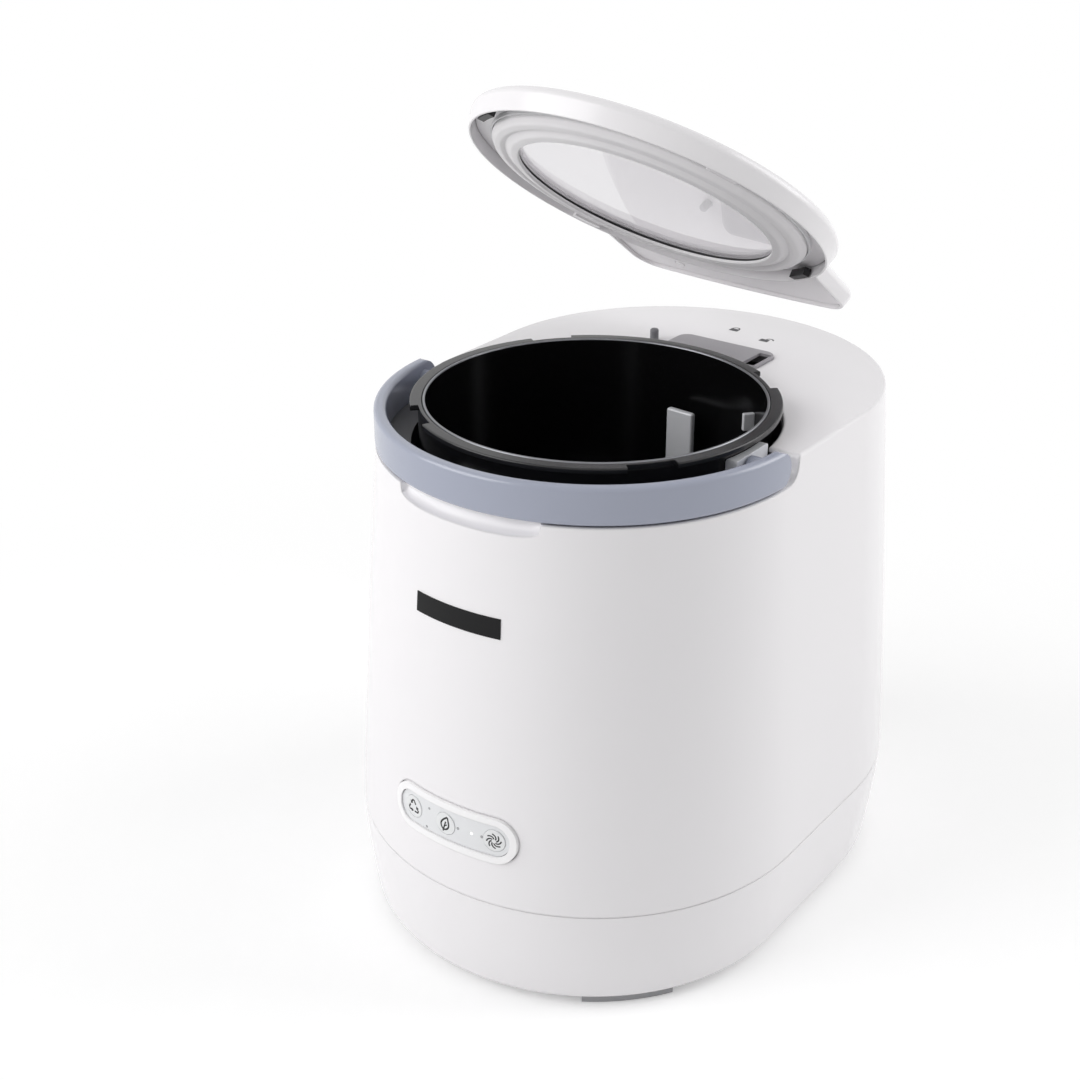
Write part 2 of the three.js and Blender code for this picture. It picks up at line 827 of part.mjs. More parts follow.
// Base pan: floor, wall, seam tongue, posts, board rails, vents and the opening for the inlet
function basePan() {
  const outer = loft(panLoops(0, footHeight, seamBottom, panEdge));
  const inner = loft([
    bodyLoop(panFloorTop, wall + panEdge / 2),
    bodyLoop(panFloorTop + panEdge, wall),
    bodyLoop(seamHeight + over, wall),
  ]);
  const tongue = cut(
    loft([
      bodyLoop(seamBottom - tongueHeight, wall / 2),
      bodyLoop(seamBottom, wall / 2),
      bodyLoop(seamBottom, wall + seat),
      bodyLoop(seamTop + tongueHeight, wall + seat),
    ]),
    loft([
      bodyLoop(seamBottom - tongueHeight - over, wall + seat + tongueThickness),
      bodyLoop(seamTop + tongueHeight + over, wall + seat + tongueThickness),
    ]),
  );
  const posts = plateCorners.map(([x, y]) =>
    rodZ(pillarRadius, x, y, panFloorTop - panFloor / 2, basePlateHeight - seat),
  );
  const boardRails = [-1, 1].map((side) => {
    const middle = powerBoardY + side * (powerBoardHalfY - 2 * powerBoardRail);
    return box(
      powerBoardX - powerBoardHalfX + powerBoardRail,
      powerBoardX + powerBoardHalfX - powerBoardRail,
      middle - powerBoardRail / 2,
      middle + powerBoardRail / 2,
      panFloorTop - panFloor / 2,
      panFloorTop + powerBoardRise - seat,
    );
  });
  const vents = [];
  for (let i = 0; i < ventCount; i += 1) {
    const y = (i - (ventCount - 1) / 2) * ventPitch;
    const [left, right] = [ventX - ventLength / 2, ventX + ventLength / 2];
    vents.push(box(left, right, y, y + ventWidth, footHeight - over, panFloorTop + over));
  }
  const body = join(cut(outer, inner), tongue, ...posts, ...boardRails);
  return cut(
    body,
    socketBlock(seat, rearY, bodyFar),
    socketBlock(socketFlange + seat, socketBack - seat, bodyFar),
    ...vents,
  );
}

// Well liner: cup, front ledge under the handle and a raised ring for the heater
function chamberLiner() {
  const ribFront = notchY - notchFillet - wall - seat;
  const ribRear = notchY + wall + seat;
  const cup = revolve(
    [
      [linerHoleRadius, linerFloorHeight],
      [linerOuter, linerFloorHeight],
      [linerOuter, deckUnderside - seat],
      [wellRadius, deckUnderside - seat],
      [wellRadius, linerFloorTop],
      [heaterRadius - linerWall, linerFloorTop],
      [heaterRadius - linerWall, heaterBottom - seat],
      [heaterRadius - linerWall - heaterRestWidth, heaterBottom - seat],
      [heaterRadius - linerWall - heaterRestWidth, linerFloorTop],
      [linerHoleRadius, linerFloorTop],
    ],
    roundSteps,
  ).translate(0, bucketY, 0);
  const ledgeTop = frontRim - seat;
  const ledge = cut(
    common(
      bodyBlock(wall + seat),
      box(-bodyFar, bodyFar, -bodyFar, ribFront, ledgeTop - flangeThickness, ledgeTop),
    ),
    disc(wellRadius + linerWall / 2, ledgeTop - 2 * flangeThickness, deckHeight, roundSteps)
      .translate(0, bucketY, 0),
    scoopLens(
      scoopDepth + scoopWall + seat,
      scoopHeight + scoopWall + seat,
      scoopHalfAngle + 2 * scoopWallAngle,
    ),
  );
  const posts = [-1, 1].flatMap((sideX) =>
    [-1, 1].map((sideY) =>
      rodZ(
        linerPostRadius,
        sideX * linerPostReach,
        bucketY + sideY * linerPostReach,
        topPlateHeight + plateThickness + seat,
        linerFloorHeight + linerWall / 2,
      ),
    ),
  );
  const trimmed = cut(
    cup,
    box(-bodyFar, bodyFar, ribFront, ribRear, ribUnderside - seat, deckHeight),
    box(-bodyFar, bodyFar, -bodyFar, ribFront + over, ledgeTop, deckHeight),
  );
  return join(trimmed, ledge, ...posts);
}

const heaterPlate = () =>
  ring(heaterHoleRadius, heaterRadius, heaterBottom, heaterBottom + heaterThickness);
const heaterElement = () =>
  new THREE.TorusGeometry(elementRadius, elementTube, elementSides, 2 * smallSteps)
    .translate(0, 0, elementHeight);

// Points of a quarter curve from a flat base to a wall, as [radius, height]
function cornerCurve(radius, base, width, height) {
  const points = [];
  for (let step = 0; step <= cornerSteps; step += 1) {
    const angle = (quarterTurn * step) / cornerSteps;
    points.push([radius - width * (1 - Math.sin(angle)), base + height * (1 - Math.cos(angle))]);
  }
  return points;
}

// Bucket pot: tapered cup with a boss for the stirrer shaft and two fixed blades
function bucketPot() {
  const outerBase = potOuter - potBaseTaper;
  const innerBase = bucketRadius - potBaseTaper;
  const bore = shaftRadius + seat + bushWall + seat;
  const cup = revolve(
    [
      [bore, potBaseHeight],
      ...cornerCurve(outerBase, potBaseHeight, potCornerWidth, potCornerHeight),
      [potOuter, rimHeight],
      [bucketRadius, rimHeight],
      ...cornerCurve(innerBase, potInside, potCornerWidth, potCornerHeight).reverse(),
      [potBossRadius + potBossTaper, potInside],
      [potBossRadius, potBossTop],
      [bore, potBossTop],
    ],
    roundSteps,
  );
  const blades = fixedBladeAngles.map((angle) =>
    atAngle(
      box(
        -fixedBladeThickness / 2,
        fixedBladeThickness / 2,
        -bucketRadius,
        -bucketRadius + fixedBladeReach,
        rimHeight - fixedBladeDrop - fixedBladeHeight,
        rimHeight - fixedBladeDrop,
      ),
      angle,
    ),
  );
  return join(cup, ...blades);
}

// Collar: a band round the rim with a flange broken by notches for the lid's lugs
function bucketCollar() {
  const band = ring(collarInner, collarOuter, collarTop - collarHeight, collarTop, roundSteps);
  const flange = ring(
    collarInner + seat,
    flangeRadius,
    collarTop - collarFlangeThickness,
    collarTop,
    roundSteps,
  );
  const notches = notchAngles.map((angle, i) =>
    sector(
      collarOuter,
      flangeRadius + over,
      angle - notchHalfAngles[i],
      angle + notchHalfAngles[i],
      collarTop - collarFlangeThickness - over,
      collarTop + over,
    ),
  );
  return cut(join(band, flange), ...notches);
}

// Handle bracket: a block against the collar with a bore for the handle's pin
function bracket(side) {
  const top = rimHeight - bracketDrop;
  const bottom = frontRim + handleSeat;
  const shape = new THREE.Shape();
  shape.moveTo(-bracketFront + bracketChamfer, bottom);
  shape.lineTo(bracketRear - bracketChamfer, bottom);
  shape.lineTo(bracketRear, bottom + bracketChamfer);
  shape.lineTo(bracketRear, top);
  shape.lineTo(-bracketFront, top);
  shape.lineTo(-bracketFront, bottom + bracketChamfer);
  const [near, far] = [bucketRadius * side, bracketFace * side].sort((a, b) => a - b);
  const boreSpan = spanX(side, pivotPinInner - seat, bracketFace);
  const pinBore = rodX(pivotPinRadius + seat, ...boreSpan, -pivotSetback, handleMiddle);
  return cut(
    prismX(shape, near, far),
    disc(collarOuter + seat, bottom - over, top + over, roundSteps),
    pinBore,
  );
}

// The two ends of a stretch along X on one side, in rising order
function spanX(side, near, far) {
  return side > 0 ? [near, far + over] : [-far - over, -near];
}

// Handle: a half ring with chamfered edges, round ends, inner bosses and pivot pins
function handle() {
  const shape = new THREE.Shape();
  shape.moveTo(-bodyFar, handleBottom);
  shape.lineTo(-pivotSetback, handleBottom);
  shape.absarc(-pivotSetback, handleMiddle, handleBand / 2, -quarterTurn, quarterTurn, false);
  shape.lineTo(-bodyFar, handleTop);
  const inner = handleRadius - handleThickness;
  const hoop = revolve([
    [inner + handleEdge, handleBottom],
    [handleRadius - handleEdge, handleBottom],
    [handleRadius, handleBottom + handleEdge],
    [handleRadius, handleTop - handleEdge],
    [handleRadius - handleEdge, handleTop],
    [inner + handleEdge, handleTop],
    [inner, handleTop - handleEdge],
    [inner, handleBottom + handleEdge],
  ]);
  const band = common(hoop, prismX(shape, -bodyFar, bodyFar, 2 * arcSteps));
  const pivots = [-1, 1].flatMap((side) => {
    const boss = spanX(side, bracketFace + pivotGap, inner);
    const pin = spanX(side, pivotPinInner, bracketFace + pivotGap);
    return [
      rodX(pivotBossRadius, ...boss, -pivotSetback, handleMiddle),
      rodX(pivotPinRadius, ...pin, -pivotSetback, handleMiddle),
    ];
  });
  return join(band, ...pivots);
}

// Stirrer hub with two tall scraping arms and two slanted low blades
function stirrerHub() {
  const bottom = potInside + bladeFloorGap;
  const inner = potBossRadius + potBossTaper + hubClearance;
  const upper = potBossRadius + hubClearance;
  const hub = revolve([
    [inner, bottom],
    [inner + hubWall, bottom],
    [upper + hubWall, potBossTop + hubClearance],
    [upper + hubWall - hubNose / 2, hubTop - hubNose / 2],
    [hubNose, hubTop],
    [0, hubTop],
    [0, potBossTop + hubClearance + hubSocket],
    [shaftRadius + seat, potBossTop + hubClearance + hubSocket],
    [shaftRadius + seat, potBossTop + hubClearance + bushFlangeHeight],
    [upper, potBossTop + hubClearance + bushFlangeHeight],
  ], middleSteps);
  const arms = tallArmAngles.flatMap((angle) => {
    const reach = bladeReach - tallArmThickness;
    const top = rimHeight - tallArmTopDrop;
    const half = tallArmWidth / 2;
    return [
      atAngle(box(-half, half, -bladeReach, -reach, bottom, top), angle),
      atAngle(
        box(-barThickness / 2, barThickness / 2, -reach - seat, -inner - seat, bottom, bottom + barHeight),
        angle,
      ),
    ];
  });
  const blades = lowBladeAngles.map((angle) => {
    const blade = box(
      -lowBladeThickness / 2,
      lowBladeThickness / 2,
      -bladeReach,
      -inner - seat,
      0,
      lowBladeHeight,
    );
    return atAngle(
      blade
        .rotateY(lowBladeLean)
        .translate(0, 0, bottom + (lowBladeThickness / 2) * Math.sin(lowBladeLean)),
      angle,
    );
  });
  return join(hub, ...arms, ...blades);
}

// Jaw coupling half: a plate with three blunt teeth up or down
function jawHalf(bottom, top, toothBottom, toothTop, phase, bore, boreBottom, boreTop) {
  const teeth = [];
  for (let i = 0; i < dogCount; i += 1) {
    const angle = phase + (i * fullDegrees) / dogCount;
    teeth.push(
      sector(dogInner, dogRadius, angle - dogHalfAngle, angle + dogHalfAngle, toothBottom, toothTop),
    );
  }
  return cut(
    join(disc(dogRadius, bottom, top), ...teeth),
    disc(bore, boreBottom, boreTop, smallSteps),
  );
}

// Gear with straight-sided teeth; one tooth points at the phase angle, in degrees from +X
function gear(module, teeth, phase, bore, bottom, top) {
  const pitchRadius = (module * teeth) / 2;
  const root = pitchRadius - toothRootShares * module;
  const tip = pitchRadius + toothTipShares * module;
  const pitch = (2 * Math.PI) / teeth;
  const corners = [
    [root, -rootHalfShares],
    [tip, -tipHalfShares],
    [tip, tipHalfShares],
    [root, rootHalfShares],
  ];
  const points = [];
  for (let i = 0; i < teeth; i += 1) {
    for (const [radius, share] of corners) {
      const angle = phase * degree + (i + share) * pitch;
      points.push(new THREE.Vector2(radius * Math.cos(angle), radius * Math.sin(angle)));
    }
  }
  const blank = prismZ(new THREE.Shape(points), bottom, top);
  return bore > 0 ? cut(blank, disc(bore, bottom - over, top + over, smallSteps)) : blank;
}

const plateShape = () =>
  roundedShape(-plateHalfWidth, plateHalfWidth, plateFront, plateRear, plateCorner);

// Lower gearbox plate with the seat of the lower bearing and holes for motor and middle pin
function gearboxBase() {
  const seatRing = disc(
    bearingRadius + wall,
    basePlateHeight + plateThickness - bearingWidth,
    basePlateHeight + plateThickness,
  ).translate(0, bucketY, 0);
  return cut(
    join(prismZ(plateShape(), basePlateHeight, basePlateHeight + plateThickness), seatRing),
    rodZ(bearingRadius + seat, 0, bucketY, basePlateHeight - bearingWidth, topPlateHeight, middleSteps),
    rodZ(gearPinRadius + seat, 0, middleY, basePlateHeight - over, topPlateHeight),
    rodZ(motorShaftRadius + over, 0, motorY, basePlateHeight - over, topPlateHeight),
  );
}

// Upper gearbox plate with its four pillars and the seat of the upper bearing
function gearboxTop() {
  const seatRing = disc(
    bearingRadius + wall,
    topPlateHeight + plateThickness - bearingWidth,
    topPlateHeight + plateThickness,
  ).translate(0, bucketY, 0);
  const pillars = plateCorners.map(([x, y]) =>
    rodZ(pillarRadius, x, y, basePlateHeight + plateThickness + seat, topPlateHeight + over),
  );
  return cut(
    join(
      prismZ(plateShape(), topPlateHeight, topPlateHeight + plateThickness),
      seatRing,
      ...pillars,
    ),
    rodZ(bearingRadius + seat, 0, bucketY, topPlateHeight - bearingWidth, linerFloorHeight, middleSteps),
    rodZ(gearPinRadius + seat, 0, middleY, topPlateHeight - over, linerFloorHeight),
  );
}

const bearing = (top) => ring(shaftRadius + 2 * seat, bearingRadius, top - bearingWidth, top, middleSteps);

// Loop of the lid's tail: concave fillets, straight sides, soft corners and a flat rear arc
function tailLoop(inset, height) {
  const filletX = tailHalfWidth + tailFillet;
  const filletY = Math.sqrt((lidRadius + tailFillet) ** 2 - filletX ** 2);
  const cornerX = tailHalfWidth - tailCorner;
  const rearMiddle = tailReach - tailRearRadius;
  const cornerY = rearMiddle + Math.sqrt((tailRearRadius - tailCorner) ** 2 - cornerX ** 2);
  const meetAngle = Math.PI + Math.atan2(filletY, filletX) + tailOverlapAngle;
  const rearAngle = Math.atan2(cornerY - rearMiddle, cornerX);
  const half = [];
  const add = (x, y, radius, from, to) => {
    for (let step = 0; step <= cornerSteps; step += 1) {
      const angle = from + ((to - from) * step) / cornerSteps;
      half.push([x + radius * Math.cos(angle), y + radius * Math.sin(angle)]);
    }
  };
  add(filletX, filletY, tailFillet + inset, meetAngle, Math.PI);
  add(cornerX, cornerY, tailCorner - inset, 0, rearAngle);
  add(0, rearMiddle, tailRearRadius - inset, rearAngle, quarterTurn);
  const mirrored = half.slice(0, -1).reverse().map(([x, y]) => [-x, y]);
  return [...half, ...mirrored].map(([x, y]) => new THREE.Vector3(x, y, height));
}

// Insets and heights up an outside of the lid: draft, shoulder and a round top edge
function lidRings(draft, bottom) {
  const rings = [[draft, bottom], [0, lidShoulder]];
  const edge = lidHeight - lidShoulder;
  for (let step = 1; step <= cornerSteps; step += 1) {
    const angle = (quarterTurn * step) / cornerSteps;
    rings.push([edge * (1 - Math.cos(angle)), lidShoulder + edge * Math.sin(angle)]);
  }
  return rings;
}

const lidLug = (angle, inner, outer, bottom, top) =>
  sector(inner, outer, angle - lidLugHalfAngle, angle + lidLugHalfAngle, bottom, top);

// Lid shell: skirt, top with a funnel down to the window, hollow tail, lugs and pin stop
function lidShell() {
  const funnelHeight = windowTop + seat;
  const round = revolve([
    [funnelFoot, funnelHeight],
    [funnelFoot + funnelWall, funnelHeight],
    [windowTopRadius + funnelWall, lidCeiling],
    [lidSkirtInner, lidCeiling],
    [lidSkirtInner, 0],
    ...lidRings(lidDraft, 0).map(([inset, height]) => [lidRadius - inset, height]),
    [windowTopRadius, lidHeight],
  ]);
  const rings = lidRings(tailDraft, tailLift);
  const topInset = rings[rings.length - 1][0];
  const tail = loft(rings.map(([inset, height]) => tailLoop(inset, height)));
  const hollow = loft([
    tailLoop(tailDraft + tailWall, tailLift - over),
    tailLoop(tailDraft + tailWall, lidShoulder),
    tailLoop(topInset + tailWall, lidCeiling),
  ]);
  const shell = cut(
    tail,
    disc(lidSkirtInner, -over, lidCeiling, roundSteps),
    disc(windowTopRadius + funnelWall / 2, lidCeiling - over, lidHeight + over, roundSteps),
  );
  const tailHollow = cut(hollow, disc(lidSkirtOuter, -over, lidHeight, roundSteps));
  const lugs = lidLugAngles.map((angle) =>
    lidLug(angle, lidLugInner, lidSkirtInner + lidSkirtWall / 2, seat, seat + lidLugHeight),
  );
  const stop = rodZ(hookRadius, pinX, pinY, hookBottom, lidCeiling + seat);
  return join(cut(join(round, shell), tailHollow), ...lugs, stop);
}

// Inner lid panel: lip, rounded swell, crease and plug below, with the window's seat above
function lidPanel() {
  const ledgeOuter = windowRadius + seat;
  return revolve([
    [lipRadius, -lipDrop],
    [lipRadius + lipWidth, -swellDrop],
    [swellOuter, -creaseDrop],
    [creaseRadius, 0],
    [bandInner, -bandDrop],
    [plugRadius - plugEdge, -plugBandDrop],
    [plugRadius, plugEdge],
    [plugRadius, lidRoof],
    [lidSkirtInner - seat, lidRoof],
    [lidSkirtInner - seat, lidRoof + panelWall],
    [plugRadius - panelWall, lidRoof + panelWall],
    [plugRadius - plugEdge - panelWall, panelWall],
    [ledgeOuter + panelWall, panelWall],
    [ledgeOuter + panelWall, windowTop],
    [ledgeOuter, windowTop],
    [ledgeOuter, windowLedge],
    [lipRadius, windowLedge],
  ]);
}

// Tail cover: a tray that closes the tail from below, open where the pin's stop comes through
function tailCover() {
  const inset = tailDraft + tailWall + seat;
  const bottom = tailLift + tailSink;
  const round = (extra) => disc(lidSkirtOuter + seat + extra, -over, lidHeight, roundSteps);
  const outer = cut(loft([tailLoop(inset, bottom), tailLoop(inset, lidShoulder)]), round(0));
  const inner = cut(
    loft([tailLoop(inset + tailWall, bottom + tailWall), tailLoop(inset + tailWall, lidHeight)]),
    round(tailWall),
  );
  const passage = rodZ(hookRadius + seat, pinX, pinY, -over, lidHeight);
  return cut(outer, inner, passage);
}

const fanFloor = doorTop + doorGap + bayWall + seat;
const fanFloorTop = fanFloor + voluteWall;
const fanTop = fanFloor + voluteHeight;
const impellerBottom = fanFloorTop + impellerRise;

// Spiral outline of the fan case, opening into a chamber at the discharge end
function voluteShape(extra) {
  const turnPoints = [];
  for (let step = 0; step <= spiralSteps; step += 1) {
    const angle = (2 * Math.PI * step) / spiralSteps;
    const radius = fanRadius + voluteClearance + extra + (voluteGrowth * step) / spiralSteps;
    turnPoints.push(new THREE.Vector2(radius * Math.cos(angle), radius * Math.sin(angle)));
  }
  const far = fanRadius + voluteClearance + voluteGrowth + extra;
  const near = far - chamberWidth - 2 * extra;
  const end = chamberLength + extra;
  const spiral = turnPoints.slice(spiralSteps / 4);
  return new THREE.Shape([
    new THREE.Vector2(far, end),
    new THREE.Vector2(near, end),
    new THREE.Vector2(near, Math.sqrt(turnPoints[spiralSteps / 8].lengthSq() - near ** 2)),
    ...spiral,
  ]);
}

function fanVolute() {
  const shell = cut(
    prismZ(voluteShape(voluteWall), fanFloor, fanTop),
    prismZ(voluteShape(0), fanFloorTop, fanTop - voluteWall),
    disc(inletRadius, fanTop - 2 * voluteWall, fanTop + over, middleSteps),
    chamberOpening(fanFloor - over, fanFloorTop + over),
  );
  return shell;
}

// The slot through which the fan blows down into the filter bay
function chamberOpening(bottom, top) {
  const far = fanRadius + voluteClearance + voluteGrowth - seat;
  const end = chamberLength - seat;
  const near = far - chamberWidth + 2 * seat;
  return box(near, far, end - chamberSlot, end, bottom, top);
}

function fanImpeller() {
  const plateTop = impellerBottom + impellerPlate;
  const plate = ring(impellerHub - hubShell / 2, fanRadius, impellerBottom, plateTop, middleSteps);
  const hub = revolve(
    [
      [impellerHub - hubShell, impellerBottom],
      [impellerHub, impellerBottom],
      [impellerHub, impellerBottom + hubHeight],
      [0, impellerBottom + hubHeight],
      [0, fanFloorTop + fanMotorHeight / 2],
      [fanShaftRadius, fanFloorTop + fanMotorHeight / 2],
      [fanShaftRadius, impellerBottom + hubHeight - hubShell],
      [impellerHub - hubShell, impellerBottom + hubHeight - hubShell],
    ],
    middleSteps,
  );
  const blades = [];
  for (let i = 0; i < bladeCount; i += 1) {
    const blade = box(
      -bladeLength / 2,
      bladeLength / 2,
      -bladeThickness / 2,
      bladeThickness / 2,
      impellerBottom + impellerPlate / 2,
      impellerBottom + impellerHeight,
    );
    blades.push(
      blade
        .rotateZ(bladeLean)
        .translate(fanRadius - bladeLength / 2 - bladeThickness, 0, 0)
        .rotateZ((2 * Math.PI * i) / bladeCount),
    );
  }
  return join(plate, hub, ...blades);
}

function fanMotor() {
  const top = fanFloorTop + fanMotorHeight;
  return revolve(
    [
      [0, fanFloorTop + seat],
      [fanMotorRadius, fanFloorTop + seat],
      [fanMotorRadius, top],
      [fanShaftRadius + seat, top],
      [fanShaftRadius + seat, fanFloorTop + fanMotorHeight / 2 - seat],
      [0, fanFloorTop + fanMotorHeight / 2 - seat],
    ],
    middleSteps,
  );
}

const insertBottom = deckUnderside - insertSkirt;

// Air duct: from the deck insert down to the fan's inlet, oval above and round below
function airDuct() {
  const skin = (extra, stretch) => {
    const loops = [];
    for (let step = 0; step <= ductRings; step += 1) {
      const share = step / ductRings;
      const ease = share * share * (3 - 2 * share);
      const bottom = fanTop + seat - stretch;
      const height = bottom + share * (insertBottom - seat + stretch - bottom);
      const loop = [];
      for (let turn = 0; turn < ductSteps; turn += 1) {
        const angle = (2 * Math.PI * turn) / ductSteps;
        const halfX = inletRadius + ease * (ductHalfX - inletRadius) + extra;
        const halfY = inletRadius + ease * (ductHalfY - inletRadius) + extra;
        const x = fanX + ease * (ductTopX - fanX) + halfX * Math.cos(angle);
        const y = fanY + ease * (ductTopY - fanY) + halfY * Math.sin(angle);
        loop.push(new THREE.Vector3(x, y, height));
      }
      loops.push(loop);
    }
    return loft(loops);
  };
  return cut(skin(ductWall, 0), skin(0, seat));
}

// Deck insert: a raised cap over the duct with a slot at its right end
function airInsert() {
  const top = deckHeight + insertRise;
  const slotRight = insertRight - slotInset;
  const slot = prismZ(
    roundedShape(
      slotRight - slotWidth,
      slotRight,
      bucketY + insertFront + slotFrontInset,
      bucketY + insertRear - slotRearInset,
      slotCorner,
    ),
    insertBottom - over,
    top + over,
  );
  return cut(
    insertBlock(0, insertBottom, top),
    insertBlock(insertWall, insertBottom - over, top - insertWall),
    slot,
  );
}

const bayShape = (extra) => {
  const half = doorHalfWidth + doorGap + extra;
  const bottom = doorBottom - doorGap - extra;
  return roundedShape(-half, half, bottom, doorTop + doorGap + extra, doorCorner + extra);
};

// Filter bay: a tunnel behind the door, closed in front, open above to the fan
function filterBay() {
  return cut(
    common(prismY(bayShape(bayWall), bayFront, bodyFar), bodyBlock(wall + seat)),
    prismY(bayShape(0), bayFront + bayWall, bodyFar),
    chamberOpening(doorTop - over, fanFloor + over).translate(fanX, fanY, 0),
  );
}

// Filter door: a piece of the rear wall with air slots and a finger pull
function filterDoor() {
  const slots = [];
  for (let i = 0; i < louvreCount; i += 1) {
    const low = louvreBottom + i * louvrePitch;
    const half = louvreHeight / 2;
    slots.push(
      prismY(
        roundedShape(-louvreHalfWidth, louvreHalfWidth, low, low + louvreHeight, half),
        rearY,
        bodyFar,
        slotSteps,
      ),
    );
  }
  const pull = (extra) =>
    prismY(
      roundedShape(
        -pullHalfWidth - extra,
        pullHalfWidth + extra,
        pullBottom - extra,
        pullBottom + pullHeight + extra,
        pullHeight / 2 + extra,
      ),
      rearY,
      bodyFar,
    );
  const cup = common(pull(wall / 2), bodyLayer(wall / 2, pullDepth + wall / 2));
  const plate = join(common(doorBlock(0), bodyLayer(0, wall)), cup);
  return cut(plate, cut(pull(0), bodyBlock(pullDepth)), ...slots);
}

const trayFront = bayFront + bayWall + drawerStop;
const trayHalf = doorHalfWidth - trayClearance;
const trayBottom = doorBottom + trayClearance;
const trayTop = trayBottom + carbonRise;

// Filter tray: floor, two sides and a windowed front, ending just inside the door
function filterTray() {
  const frame = cut(
    box(-trayHalf, trayHalf, trayFront, bodyFar, trayBottom, trayTop),
    box(
      -trayHalf + trayWall,
      trayHalf - trayWall,
      trayFront + trayWall,
      bodyFar + over,
      trayBottom + trayWall,
      trayTop + over,
    ),
    box(
      -trayHalf + trayLip,
      trayHalf - trayLip,
      trayFront - over,
      trayFront + trayWall + over,
      trayBottom + trayLip,
      trayTop + over,
    ),
  );
  return common(frame, bodyBlock(wall + seat));
}

// Carbon block with straight air holes
function carbonFilter() {
  const half = trayHalf - trayWall - seat;
  const front = trayFront + trayWall + seat;
  const holes = carbonRows.flatMap((row) =>
    carbonColumns.map((column) =>
      rodY(
        carbonHoleRadius,
        front - over,
        front + carbonDepth + over,
        column * carbonHolePitch,
        (trayBottom + trayTop) / 2 + row * carbonHolePitch,
        smallSteps / 2,
      ),
    ),
  );
  const bottom = trayBottom + trayWall + seat;
  return cut(box(-half, half, front, front + carbonDepth, bottom, trayTop), ...holes);
}

const pinTop = deckHeight + pinRise;
const pinFlangeTop = deckUnderside - seat;

const sensorPin = () =>
  join(
    rodZ(pinRadius, pinX, bucketY + pinY, pinTop - pinLength, pinTop),
    rodZ(
      pinFlange,
      pinX,
      bucketY + pinY,
      pinFlangeTop - pinFlangeThickness,
      pinFlangeTop,
    ),
  );

function pinHolder() {
  const y = bucketY + pinY;
  const top = deckUnderside - seat;
  return cut(
    box(pinX - holderHalf, pinX + holderHalf, y - holderHalf, y + holderHalf, top - holderHeight, top),
    rodZ(holderBore, pinX, y, top - holderHeight + wall, top + over),
  );
}

// A rod along the outward direction at an angle from the front of the bucket axis
const frontRod = (radius, near, far, angle, height, steps = middleSteps) =>
  atAngle(rodY(radius, -far, -near, 0, height, steps), angle).translate(0, bucketY, 0);

const panelRadius = bodyRadius(panelHeight);
const keySeat = panelRadius - keyFlangeDepth;

// Panel bezel: a raised pill ring through the wall with a lip behind it
function panelBezel() {
  const ringPart = common(
    cut(panelPill(0), panelPill(bezelWidth)),
    bodyLayer(-bezelProud, wall + seat + bezelLip),
  );
  const lip = common(
    cut(panelPill(-bezelLip), panelPill(bezelWidth + bezelLip)),
    bodyLayer(wall + seat, wall + seat + bezelLip),
  );
  return join(ringPart, lip);
}

function panelFace() {
  const plate = common(panelPill(bezelWidth + seat), bodyLayer(-faceProud, wall));
  const posts = facePostX.map((x) =>
    rodY(facePostRadius, boardFront - boardSetback + wall, boardFront - seat, x, panelHeight),
  );
  const holes = keyAngles.flatMap((angle) => [
    frontRod(keyRadius + keyClearance, bucketRadius, bodyFar, angle, panelHeight),
    frontRod(
      keyRadius + keyFlange + keyClearance,
      bucketRadius,
      keySeat,
      angle,
      panelHeight,
    ),
  ]);
  return cut(join(plate, ...posts), ...holes);
}

// Round key with a soft edge, a retaining flange and a stem towards the board
function panelKey(angle) {
  const top = panelRadius + faceProud + keyProud;
  const flangeTop = keySeat - seat;
  const flangeBottom = flangeTop - keyFlangeThickness;
  const stemEnd = panelRadius - boardSetback + switchHeight + keyTravel + seat;
  const turned = revolve(
    [
      [0, stemEnd],
      [keyStem, stemEnd],
      [keyStem, flangeBottom],
      [keyRadius + keyFlange, flangeBottom],
      [keyRadius + keyFlange, flangeTop],
      [keyRadius, flangeTop],
      [keyRadius, top - keyEdge],
      [keyRadius - keyEdge, top],
      [0, top + keyDome],
    ],
    middleSteps,
  );
  return atAngle(turned.rotateX(quarterTurn).translate(0, 0, panelHeight), angle)
    .translate(0, bucketY, 0);
}

const boardFront = bucketY - panelRadius + boardSetback;

// Control board with one push switch behind each key
function controlBoard() {
  const board = box(
    -boardHalfWidth,
    boardHalfWidth,
    boardFront,
    boardFront + boardThickness,
    panelHeight - boardHalfHeight,
    panelHeight + boardHalfHeight,
  );
  const near = panelRadius - boardSetback - 2 * boardThickness;
  const far = panelRadius - boardSetback + switchHeight;
  const switches = keyAngles.map((angle) =>
    frontRod(switchRadius, near, far, angle, panelHeight, smallSteps),
  );
  return join(board, ...switches);
}

function powerBoard() {
  const bottom = panFloorTop + powerBoardRise;
  const top = bottom + boardThickness;
  const [left, right] = [powerBoardX - powerBoardHalfX, powerBoardX + powerBoardHalfX];
  const [front, rear] = [powerBoardY - powerBoardHalfY, powerBoardY + powerBoardHalfY];
  const parts = powerPartShares.map(([shareX, shareY], i) => {
    const [radius, height] = powerPartSizes[i];
    const x = left + shareX * (right - left);
    const y = front + shareY * (rear - front);
    return rodZ(radius, x, y, bottom, top + height);
  });
  return join(box(left, right, front, rear, bottom, top), ...parts);
}

